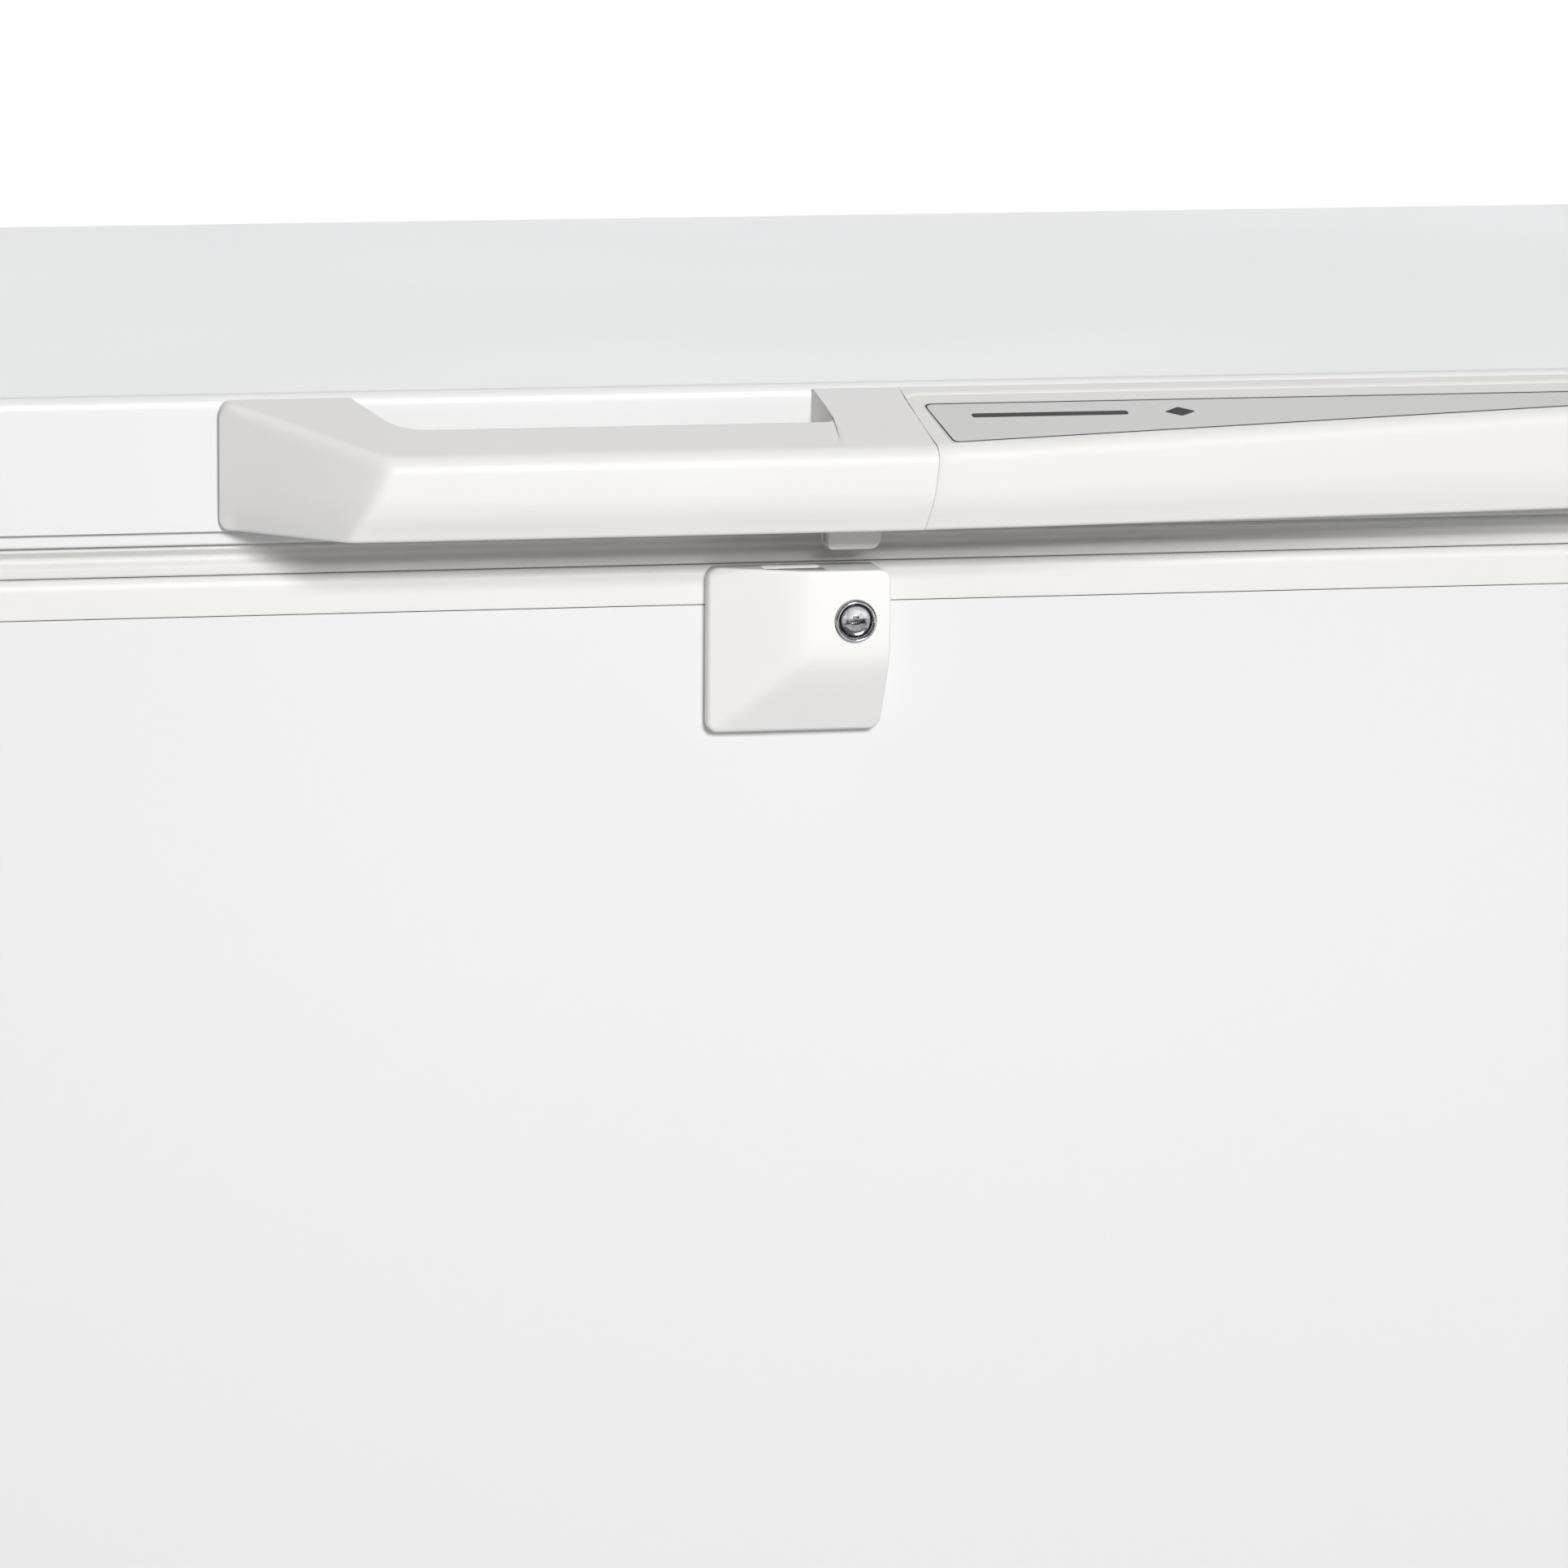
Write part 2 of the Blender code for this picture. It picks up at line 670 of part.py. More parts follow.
def handle_section(x_top, x_low, reach):
    """One loop around the handle. Its x moves from x_top to x_low down the face."""
    edge = min(HANDLE_EDGE, reach / 3)
    tuck = min(HANDLE_TUCK, reach / 3)
    top = on_slope(reach) - edge
    low = HEIGHT - HANDLE_HEIGHT
    points = [(x_top, GAP, on_slope(GAP)), (x_top, reach - edge, on_slope(reach - edge))]
    for t in (0.0, 0.2, 0.45, 0.7, 0.88, 1.0):
        bulge = HANDLE_BULGE * math.sin(math.pi * min(t, 0.9) / 0.9) * min(1.0, reach / HANDLE_FULL)
        forward = reach + bulge - tuck * t**5
        x = x_top + (x_low - x_top) * t**1.4
        points.append((x, forward, top + (low - top) * t))
    points.append((x_low, GAP, low))
    return [(x, in_front(forward), z) for x, forward, z in points]


def tail_reach(x):
    """The handle's reach along its tapering tail."""
    share = (x - TAIL_START) / (TAIL_END - TAIL_START)
    return HANDLE_FULL + (TAIL_REACH - HANDLE_FULL) * share


def handle_envelope():
    """The whole handle, from the left ramp along the grip to the end of the tail."""
    soften = 0.004
    near = 1 - soften / (GRIP_START - HANDLE_LEFT)
    loops = [
        handle_section(HANDLE_LEFT, HANDLE_LEFT, HANDLE_TIP),
        handle_section(
            HANDLE_LEFT + near * (GRIP_START - HANDLE_LEFT),
            HANDLE_LEFT + near * (GRIP_START_LOW - HANDLE_LEFT),
            HANDLE_TIP + near * (HANDLE_FULL - HANDLE_TIP),
        ),
        handle_section(GRIP_START + soften / 2, GRIP_START_LOW + soften / 2, HANDLE_FULL),
    ]
    for x in (-0.10, -0.05, 0.0, TAIL_START):
        loops.append(handle_section(x, x, HANDLE_FULL))
    for share in (0.2, 0.4, 0.6, 0.8, 1.0):
        x = TAIL_START + share * (TAIL_END - TAIL_START)
        loops.append(handle_section(x, x, tail_reach(x)))
    for share in (0.45, 0.8, 1.0):
        x = TAIL_END + share * (TAIL_TIP - TAIL_END)
        reach = HANDLE_TIP + (TAIL_REACH - HANDLE_TIP) * (1 - share**2)
        loops.append(handle_section(x, x, reach))
    return loft(loops)


def finger_gap():
    """The opening behind the grip, right through from top to bottom and a little wider below."""
    over = 0.001
    loops = []
    for deep, z in ((FINGER_DEPTH_LOW, SKIRT_Z - PAST), (FINGER_DEPTH, HEIGHT + PAST)):
        outline = rounded_outline([
            (FINGER_LEFT, -over, 0.0),
            (FINGER_RIGHT, -over, 0.0),
            (FINGER_RIGHT_DEEP, deep, FINGER_RADIUS_RIGHT),
            (FINGER_LEFT_DEEP, deep, FINGER_RADIUS_LEFT),
        ])
        loops.append([(x, in_front(reach), z) for x, reach in outline])
    return loft(loops)


def tail_region(shrink):
    """The space that the tail cover fills, drawn in by a clearance on its rear and its seam."""
    front = HANDLE_REACH + PAST
    outline = rounded_outline([
        (SEAM_X + shrink, COVER_REAR + shrink, COVER_CORNER),
        (COVER_END - shrink, COVER_REAR + shrink, 0.0),
        (COVER_END - shrink, front, 0.0),
        (SEAM_X + SEAM_LEAN * front / HANDLE_FULL + shrink, front, 0.0),
    ])
    loops = []
    for lean, z in ((1.35 * SEAM_LOW, SKIRT_Z - PAST), (0.0, HEIGHT - 2 * PAST), (0.0, HEIGHT + PAST)):
        loops.append([(x + lean * (x < COVER_END / 2), in_front(reach), z) for x, reach in outline])
    return loft(loops)


def badge_skin(grow, high, low):
    """The strip's outline between two depths below the sloping top face."""
    outline = rounded_outline([
        (BADGE_LEFT - grow, BADGE_REAR - grow, 0.003),
        (BADGE_RIGHT + grow, BADGE_REAR - grow, 0.001),
        (BADGE_RIGHT + grow, BADGE_FRONT_END + grow, 0.001),
        (BADGE_LEFT_LOW - grow, BADGE_FRONT + grow, 0.002),
    ])
    loops = []
    for drop in (low, high):
        loops.append([(x, in_front(reach), on_slope(reach) - drop) for x, reach in outline])
    return loft(loops)


def cover_hollow():
    """The space inside the tail cover, open below."""
    rear = COVER_REAR + SEAM_GAP + COVER_WALL
    loops = []
    for x in (TAIL_START + 0.002 + COVER_WALL, TAIL_END - 0.060):
        front = tail_reach(x) - COVER_WALL
        low = SKIRT_Z - PAST
        loops.append([
            (x, in_front(rear), on_slope(rear) - COVER_TOP_WALL),
            (x, in_front(front), on_slope(front) - COVER_TOP_WALL),
            (x, in_front(front - HANDLE_TUCK), low),
            (x, in_front(rear), low),
        ])
    return loft(loops)


def make_handle(lid):
    """The handle body, the cover on its tail, the inlaid strip and the lock's striker."""
    body = add_piece("handle_body", handle_envelope(), WHITE_PLASTIC, lid)
    cut(body, finger_gap())
    cut(body, tail_region(0.0))
    cover = add_piece("handle_cover", handle_envelope(), WHITE_PLASTIC, lid)
    keep(cover, tail_region(SEAM_GAP))
    cut(cover, cover_hollow())
    cut(cover, badge_skin(GAP, -0.005, BADGE_THICK + GAP))
    add_piece("handle_badge", badge_skin(0.0, 0.0, BADGE_THICK), BADGE_GREY, lid)


def make_striker(lid):
    """The tab below the handle, with a pocket that the lock's finger swings into."""
    top = HEIGHT - HANDLE_HEIGHT - GAP
    low = top - STRIKER_DROP
    outline = rounded_outline([
        (STRIKER_LEFT, top, 0.0),
        (STRIKER_LEFT, low, TIGHT_CORNER),
        (STRIKER_RIGHT, low, STRIKER_CORNER),
        (STRIKER_RIGHT, top, 0.0),
    ])
    striker = add_piece(
        "latch_striker",
        prism(outline, "Y", in_front(STRIKER_FRONT), in_front(STRIKER_REAR)),
        WHITE_PLASTIC,
        lid,
    )
    pocket_low = (
        STRIKER_LEFT - CAM_CLEAR,
        in_front(CAM_REACH + CAM_THICK + CAM_CLEAR),
        low + 2 * STRIKER_WALL,
    )
    pocket_high = (BARREL_X + 3 * CAM_CLEAR, in_front(CAM_REACH - CAM_CLEAR), top - STRIKER_WALL)
    cut(striker, box(pocket_low, pocket_high))


# ================================================================ lock


def front_loop(x0, x1, z0, z1, radius, reach):
    """A rounded rectangle that faces forward, at a reach in front of the lid."""
    return [(x, in_front(reach), z) for x, z in rectangle(x0, x1, z0, z1, radius)]


def lock_skin(drawn_in, open_back):
    """The lock cover's outside, or with drawn_in the hollow inside it."""
    back = GAP - LID_OVERHANG - open_back
    rim = LOCK_EDGE - LID_OVERHANG - drawn_in / 2
    boss = LOCK_REACH - LID_OVERHANG - drawn_in
    low = LOCK_TOP - LOCK_HEIGHT + drawn_in
    high = LOCK_TOP - drawn_in
    left = -LOCK_HALF + drawn_in
    right = LOCK_HALF - drawn_in
    corner = max(0.004 - drawn_in, TIGHT_CORNER)
    boss_low = LOCK_TOP - BOSS_HEIGHT + drawn_in / 2
    return loft([
        front_loop(left, right, low, high, corner, back),
        front_loop(left, right, low, high, corner, rim),
        front_loop(BOSS_LEFT + drawn_in / 2, right, boss_low, high, corner, boss),
    ])


def make_lock_housing():
    """The moulded cover on the front panel, hollow and open behind, with a slot in its top."""
    housing = add_piece("lock_housing", lock_skin(0.0, 0.0), WHITE_PLASTIC)
    cut(housing, lock_skin(LOCK_WALL, 0.002))
    bore = [(0.0, 0.0), (BARREL_RADIUS, 0.0), (BARREL_RADIUS, LOCK_REACH), (0.0, LOCK_REACH)]
    cut(housing, turned(bore, (BARREL_X, in_front(CAM_REACH + 2 * CAM_THICK), BARREL_Z), (0, -1, 0)))
    slot_low = (CAM_SLOT_LEFT, in_front(CAM_REACH + CAM_THICK + CAM_CLEAR), LOCK_TOP - 2 * LOCK_WALL)
    slot_high = (CAM_SLOT_RIGHT, in_front(CAM_REACH - CAM_CLEAR), LOCK_TOP + LOCK_WALL)
    cut(housing, box(slot_low, slot_high))


def make_lock_barrel():
    """The chromed sleeve in the boss, with a raised rim around the key plug."""
    outer = BARREL_RADIUS - GAP
    inner = outer - BARREL_WALL
    back = CAM_REACH + CAM_THICK + CAM_CLEAR
    front = LOCK_REACH - LID_OVERHANG + BARREL_PROUD
    profile = [
        (inner, back),
        (outer, back),
        (outer, front - 0.0005),
        (outer - 0.0005, front),
        (inner, front),
    ]
    sleeve = turned(profile, (BARREL_X, LID_FRONT, BARREL_Z), (0, -1, 0), steps=24)
    add_piece("lock_barrel", sleeve, CHROME)


def make_lock_plug(key):
    """The key plug, with a keyway in front and a stub that carries the cam."""
    radius = BARREL_RADIUS - BARREL_WALL - 2 * GAP
    shoulder = CAM_REACH + CAM_THICK + GAP
    front = LOCK_REACH - LID_OVERHANG + BARREL_PROUD - PLUG_SUNK
    profile = [
        (0.0, CAM_REACH - PLUG_TAIL),
        (PLUG_STUB, CAM_REACH - PLUG_TAIL),
        (PLUG_STUB, shoulder),
        (radius, shoulder),
        (radius, front - 0.0004),
        (radius - 0.0004, front),
        (0.0, front),
    ]
    plug = add_piece(
        "lock_plug", turned(profile, (BARREL_X, LID_FRONT, BARREL_Z), (0, -1, 0)), CHROME, key
    )
    half = radius * 0.62
    low = (BARREL_X - half, in_front(front + 0.001), BARREL_Z - KEYWAY / 2)
    high = (BARREL_X + half, in_front(front - 0.006), BARREL_Z + KEYWAY / 2)
    cut(plug, box(low, high))


def arc(radius, start, end, steps):
    """Points of an arc around the barrel's axis, by angle in degrees from +X."""
    points = []
    for k in range(steps + 1):
        angle = math.radians(start + (end - start) * k / steps)
        points.append((BARREL_X + radius * math.cos(angle), BARREL_Z + radius * math.sin(angle)))
    return points


def make_lock_cam(key):
    """The hook on the plug: an arm and a curved finger that swings up through the slot."""
    outline = arc(CAM_OUTER, CAM_TIP_ANGLE, CAM_ARM_END, 8)
    outline += arc(CAM_HUB, CAM_ARM_END, 360.0 + CAM_ARM_START, 14)
    outline += arc(CAM_OUTER - CAM_BAND, CAM_ARM_START, CAM_TIP_ANGLE, 5)
    skin = prism(outline, "Y", in_front(CAM_REACH + CAM_THICK), in_front(CAM_REACH))
    cam = add_piece("lock_cam", skin, ZINC, key)
    bore = [(0.0, -0.01), (PLUG_STUB + GAP, -0.01), (PLUG_STUB + GAP, 0.02), (0.0, 0.02)]
    cut(cam, turned(bore, (BARREL_X, LID_FRONT, BARREL_Z), (0, -1, 0), steps=12))


# ================================================================ hinges


def knuckle(x0, x1, radius):
    """A round bar on the hinge axis between two places."""
    profile = [(0.0, x0), (radius, x0), (radius, x1), (0.0, x1)]
    return turned(profile, (0.0, HINGE_Y, HINGE_Z), (1, 0, 0), steps=16)


def make_leaf(name, x, inner, outer, direction, height, carrier):
    """A hinge plate with two lugs that reach the axis, and a bored knuckle on each lug."""
    front = LID_BACK + GAP
    back = front + HINGE_PLATE
    near = HINGE_KNUCKLE + 2 * GAP
    edges = sorted((HINGE_Z + direction * near, HINGE_Z + direction * height))
    leaf = add_piece(
        name,
        box((x - HINGE_HALF, front, edges[0]), (x + HINGE_HALF, back, edges[1])),
        ZINC,
        carrier,
    )
    overlap = 0.002
    for side in (-1, 1):
        x0, x1 = sorted((x + side * inner, x + side * outer))
        reach = sorted((HINGE_Z, HINGE_Z + direction * (near + overlap)))
        join(leaf, box((x0, front, reach[0]), (x1, HINGE_Y - HINGE_PIN / 2, reach[1])))
        join(leaf, knuckle(x0, x1, HINGE_KNUCKLE))
    cut(leaf, knuckle(x - HINGE_HALF - overlap, x + HINGE_HALF + overlap, HINGE_PIN + GAP))


def make_spring(name, x):
    """The torsion spring around the pin, with a leg that rests on the cabinet's leaf."""
    space = LID_KNUCKLE_IN - 0.0008
    mean = (HINGE_KNUCKLE + HINGE_PIN) / 2
    steps = 10
    route = [(x - space + SPRING_WIRE, LID_BACK + 3 * HINGE_PLATE, HINGE_Z - 0.020)]
    pitch = 2 * (space - SPRING_WIRE) / SPRING_TURNS
    for k in range(SPRING_TURNS * steps + 1):
        angle = math.tau * k / steps
        along = x - space + SPRING_WIRE + pitch * k / steps
        route.append((along, HINGE_Y + mean * math.cos(angle), HINGE_Z + mean * math.sin(angle)))
    add_piece(name, tube(route, SPRING_WIRE, sides=5), ZINC)


def make_hinges(lid):
    """Two sprung hinges, each with two leaves, a pin and a spring."""
    for name, x in (("left", -HINGE_X), ("right", HINGE_X)):
        make_leaf("hinge_leaf_" + name, x, LID_KNUCKLE_IN, LID_KNUCKLE_OUT, 1, LID_LEAF_HEIGHT, lid)
        make_leaf(
            "hinge_base_" + name, x, LID_KNUCKLE_OUT + GAP, HINGE_HALF, -1, BASE_LEAF_HEIGHT, None
        )
        end = HINGE_HALF + 0.0015
        add_piece("hinge_pin_" + name, knuckle(x - end, x + end, HINGE_PIN), ZINC)
        make_spring("hinge_spring_" + name, x)


# ================================================================ cabinet


def make_top_frame():
    """The moulded frame on the walls: outer trim, flat top, basket ledge and inner lip."""
    under = FRAME_TOP - FRAME_WALL
    ledge_start = WALL - LEDGE_WIDTH
    sections = [Section(0.0, FRAME_Z)]
    sections.extend(reversed(rounded_edge(0.0, FRAME_TOP, FRAME_EDGE, steps=2)))
    sections.extend([
        Section(ledge_start, FRAME_TOP),
        Section(ledge_start, LEDGE_Z),
        Section(WALL, LEDGE_Z),
        Section(WALL, LEDGE_Z - LIP_DROP),
        Section(WALL - LIP_WALL, LEDGE_Z - LIP_DROP),
        Section(WALL - LIP_WALL, LEDGE_Z - FRAME_WALL),
        Section(ledge_start - FRAME_WALL, LEDGE_Z - FRAME_WALL),
        Section(ledge_start - FRAME_WALL, under),
        Section(FRAME_WALL, under),
        Section(FRAME_WALL, FRAME_Z),
    ])
    loops = nested(CABINET_PLAN, cabinet_corner, sections)
    add_piece("top_frame", loft(loops, ring=True), WHITE_PLASTIC)


def make_shell():
    """The painted sheet that wraps the front and both sides, open at the back."""
    x = CABINET_RIGHT - SHELL_INSET
    front = CABINET_FRONT + SHELL_INSET
    outer = CABINET_CORNER - SHELL_INSET
    inner = outer - SHELL_SHEET
    ix = x - SHELL_SHEET
    outline = rounded_outline([
        (-x, CABINET_BACK, 0.0),
        (-x, front, outer),
        (x, front, outer),
        (x, CABINET_BACK, 0.0),
        (ix, CABINET_BACK, 0.0),
        (ix, front + SHELL_SHEET, inner),
        (-ix, front + SHELL_SHEET, inner),
        (-ix, CABINET_BACK, 0.0),
    ])
    shell = add_piece("cabinet_shell", prism(outline, "Z", BASE_Z, FRAME_Z - GAP), WHITE_ENAMEL)
    margin = 0.012
    low = (GRILLE_LEFT + margin, front - 0.01, PANEL_BOTTOM + margin)
    high = (CONTROL_RIGHT - margin, front + 0.01, PANEL_BOTTOM + PANEL_HEIGHT - margin)
    cut(shell, box(low, high))
    radius = DRAIN_TUBE + DRAIN_CLEAR
    hole = [(0.0, -0.01), (radius, -0.01), (radius, 0.01), (0.0, 0.01)]
    cut(shell, turned(hole, (DRAIN_X, front, DRAIN_Z), (0, 1, 0), steps=12))


def room_opening(margin):
    """The opening in the back of the compressor room, as x and z limits."""
    right = CABINET_RIGHT - 0.030
    return (ROOM_X + 0.020 + margin, right - margin, TRAY_TOP + 0.020 + margin, ROOM_TOP - 0.020 - margin)


def make_cabinet_back():
    """The back sheet, with an opening behind the compressor."""
    x = CABINET_RIGHT - SHELL_INSET - SHELL_SHEET - GAP
    back = add_piece(
        "cabinet_back",
        box((-x, CABINET_BACK - SHELL_SHEET, BASE_Z), (x, CABINET_BACK, FRAME_Z - GAP)),
        WHITE_ENAMEL,
    )
    x0, x1, z0, z1 = room_opening(0.008)
    cut(back, box((x0, CABINET_BACK - 0.01, z0), (x1, CABINET_BACK + 0.01, z1)))


def inlet_place():
    """The x and z of the supply lead's inlet on the compressor room's cover."""
    _, x1, z0, _ = room_opening(0.0)
    return x1 - 0.040, z0 + 0.040


def make_room_cover():
    """The pressed cover over the compressor room, with air slots and a hole for the lead."""
    x0, x1, z0, z1 = room_opening(0.0)
    y = CABINET_BACK + GAP
    sheet = COVER_SHEET
    inner_edge = COVER_FLANGE + COVER_RISE
    profile = [
        (inner_edge, COVER_RISE - sheet), (COVER_FLANGE, 0.0), (0.0, 0.0),
        (0.0, sheet), (COVER_FLANGE, sheet), (inner_edge, COVER_RISE),
    ]
    loops = []
    for inset, out in profile:
        outline = rectangle(x0 + inset, x1 - inset, z0 + inset, z1 - inset, 0.012)
        loops.append([(x, y + out, z) for x, z in outline])
    cover = add_piece("room_cover", loft(loops), WHITE_ENAMEL)
    slots = 6
    for k in range(slots):
        z = z0 + 0.035 + k * (z1 - z0 - 0.070) / (slots - 1)
        cut(cover, box((x0 + 0.035, y - 0.01, z - 0.003), (x1 - 0.075, y + 0.01, z + 0.003)))
    inlet_x, inlet_z = inlet_place()
    hole = [(0.0, -0.01), (INLET_BORE, -0.01), (INLET_BORE, 0.02), (0.0, 0.02)]
    cut(cover, turned(hole, (inlet_x, y, inlet_z), (0, 1, 0), steps=12))


def make_base_tray():
    """The steel bottom, a plate with flanges that turn down inside the shell."""
    sections = [
        Section(INSIDE_SHELL, TRAY_TOP),
        Section(INSIDE_SHELL, BASE_Z),
        Section(INSIDE_SHELL + SHELL_SHEET, BASE_Z),
        Section(INSIDE_SHELL + SHELL_SHEET, TRAY_TOP - SHELL_SHEET),
    ]
    add_piece("base_tray", loft(nested(CABINET_PLAN, cabinet_corner, sections)), ZINC)


def make_tub():
    """The inner liner, a sheet tub whose floor steps up over the compressor room."""
    outside = TUB_INSET - TUB_SHEET
    drawn = TUB_INSET + TUB_DRAFT
    corner = TUB_FLOOR_RADIUS
    soft = 0.3 * corner
    outer_step = STEP_X + TUB_SHEET
    outer_floor = TUB_FLOOR_Z - TUB_SHEET
    sections = [
        Section(outside + TUB_DRAFT + corner, outer_floor, outer_step - corner),
        Section(outside + TUB_DRAFT + soft, outer_floor + soft, outer_step - soft),
        Section(outside + TUB_DRAFT, outer_floor + corner, outer_step),
        Section(outside + TUB_DRAFT, STEP_Z - TUB_SHEET, outer_step),
        Section(outside, STEP_Z - TUB_SHEET),
        Section(outside, RIM_Z),
        Section(TUB_INSET, RIM_Z),
        Section(TUB_INSET, STEP_Z),
        Section(drawn, STEP_Z, STEP_X),
        Section(drawn, TUB_FLOOR_Z + corner, STEP_X),
        Section(drawn + soft, TUB_FLOOR_Z + soft, STEP_X - soft),
        Section(drawn + corner, TUB_FLOOR_Z, STEP_X - corner),
    ]
    tub = add_piece("inner_tub", loft(nested(CABINET_PLAN, cabinet_corner, sections)), ALUMINIUM)
    radius = DRAIN_TUBE + DRAIN_CLEAR
    hole = [(0.0, -0.02), (radius, -0.02), (radius, 0.02), (0.0, 0.02)]
    cut(tub, turned(hole, (DRAIN_X, DRAIN_TUBE_Y, TUB_FLOOR_Z), (0, 0, 1), steps=12))


def make_foam_body():
    """The insulation between shell and tub, with the compressor room cut from its corner."""
    x0, x1, y0, _ = CABINET_PLAN
    plan = (x0, x1, y0, FOAM_BACK_Y + INSIDE_SHELL)
    room = ROOM_X
    channel = FRAME_WALL + GAP
    below_frame = FRAME_Z - GAP
    top = FRAME_TOP - FRAME_WALL - GAP
    outer = [
        Section(INSIDE_SHELL + TUB_DRAFT, FOAM_Z, room),
        Section(INSIDE_SHELL + TUB_DRAFT, ROOM_TOP, room),
        Section(INSIDE_SHELL, ROOM_TOP),
        Section(INSIDE_SHELL, below_frame),
        Section(channel, below_frame),
        Section(channel, top),
    ]
    step = STEP_X + TUB_SHEET + EVAPORATOR_SPACE
    floor = TUB_FLOOR_Z - TUB_SHEET - GAP
    step_z = STEP_Z - TUB_SHEET - GAP
    inner = [
        Section(FOAM_INSET, top),
        Section(FOAM_INSET, step_z),
        Section(FOAM_INSET + TUB_DRAFT, step_z, step),
        Section(FOAM_INSET + TUB_DRAFT, floor, step),
    ]
    outer_loops = nested(plan, cabinet_corner, outer)
    inner_loops = nested(CABINET_PLAN, cabinet_corner, inner)
    foam = add_piece("foam_body", loft(outer_loops + inner_loops), FOAM_CREAM)
    half = DRAIN_TUBE + 2 * GAP
    far = DRAIN_TUBE_Y + half
    cut(foam, box((DRAIN_X - half, y0 - 0.01, FOAM_Z - 0.01), (DRAIN_X + half, far, floor + 0.01)))
    for y in riser_places():
        hole = [(0.0, ROOM_TOP - 0.01), (TUBE_HOLE, ROOM_TOP - 0.01), (TUBE_HOLE, STEP_Z), (0.0, STEP_Z)]
        cut(foam, turned(hole, (RISER_X, y, 0.0), (0, 0, 1), steps=10))


# ================================================================ refrigeration


def riser_places():
    """The y of the two evaporator ends that pass down into the compressor room."""
    return (COMPRESSOR_Y - RISER_NEAR, COMPRESSOR_Y + RISER_FAR)


def make_evaporator():
    """One tube that runs round the tub and back, turn by turn, between two risers."""
    x0, _, y0, y1 = CABINET_PLAN
    left = x0 + TUBE_INSET
    front = y0 + TUBE_INSET
    back = y1 - TUBE_INSET
    near, far = riser_places()
    top = RIM_Z - EVAPORATOR_MARGIN
    lowest = STEP_Z + EVAPORATOR_MARGIN
    pitch = (top - lowest) / (EVAPORATOR_RUNS - 1)
    around = cabinet_corner(TUBE_INSET)
    turn_back = min(around, 0.45 * pitch)
    clear = 0.030
    corners = [(RISER_X, far, RISER_LOW)]
    radii = []
    for run in range(EVAPORATOR_RUNS):
        z = top - run * pitch
        first = far if run == 0 else far + clear
        last = near if run == EVAPORATOR_RUNS - 1 else near - clear
        way = [
            (RISER_X, first), (RISER_X, back), (left, back),
            (left, front), (RISER_X, front), (RISER_X, last),
        ]
        if run % 2:
            way.reverse()
        corners.extend((x, y, z) for x, y in way)
        radii.extend([turn_back, around, around, around, around, turn_back])
    corners.append((RISER_X, near, RISER_LOW))
    skin = tube(rounded_route(corners, radii, steps=2), TUBE_RADIUS)
    add_piece("evaporator_coil", skin, ALUMINIUM)


def condenser_ends():
    """The x of the condenser's two ends, where they drop into the compressor room."""
    return (CABINET_RIGHT - 0.050, CABINET_RIGHT - 0.110)


def drier_place():
    """The x and y of the filter drier and the z of its top."""
    return ROOM_X + 0.040, CONDENSER_Y - 0.060, RISER_LOW - 0.060


def make_condenser():
    """A flat tube coil behind the back sheet, which goes on down to the filter drier."""
    far, near = condenser_ends()
    left = -CABINET_RIGHT + 0.070
    top = FRAME_Z - 0.060
    lowest = ROOM_TOP + 0.040
    runs = CONDENSER_RUNS
    corners = [(far, CONDENSER_Y, RISER_LOW)]
    for run in range(runs):
        z = top - (top - lowest) * run / (runs - 1)
        right = far if run == 0 else near - 0.030 * (run < runs - 1)
        ends = (right, left) if run % 2 == 0 else (left, right)
        corners.extend((x, CONDENSER_Y, z) for x in ends)
    drier_x, drier_y, drier_top = drier_place()
    corners.extend([
        (near, CONDENSER_Y, RISER_LOW - 0.020),
        (drier_x, drier_y, RISER_LOW - 0.025),
        (drier_x, drier_y, drier_top + GAP),
    ])
    turn_back = min(0.020, 0.45 * (top - lowest) / (runs - 1))
    radii = [turn_back] * (2 * runs) + [0.010, 0.010]
    coil = tube(rounded_route(corners, radii, steps=2), THIN_TUBE_RADIUS)
    add_piece("condenser_coil", coil, COPPER)


def make_compressor():
    """The hermetic pump: two pressed halves with a raised weld seam between them."""
    r = COMPRESSOR_RADIUS
    h = COMPRESSOR_HEIGHT
    profile = [
        (0.0, 0.0), (0.45 * r, 0.0), (0.80 * r, 0.05 * h), (0.97 * r, 0.20 * h), (r, 0.30 * h),
        (r, 0.56 * h), (1.04 * r, 0.57 * h), (1.04 * r, 0.60 * h), (0.99 * r, 0.61 * h),
        (0.96 * r, 0.76 * h), (0.84 * r, 0.89 * h), (0.60 * r, 0.97 * h), (0.25 * r, h), (0.0, h),
    ]
    skin = turned(profile, (COMPRESSOR_X, COMPRESSOR_Y, COMPRESSOR_Z), (0, 0, 1), steps=24)
    add_piece("compressor", skin, BLACK_ENAMEL)


def grommet_places():
    """The four mounting points of the compressor plate."""
    dx = PLATE_HALF_X - GROMMET_RADIUS
    dy = PLATE_HALF_Y - GROMMET_RADIUS
    return [(COMPRESSOR_X + sx * dx, COMPRESSOR_Y + sy * dy) for sx in (-1, 1) for sy in (-1, 1)]


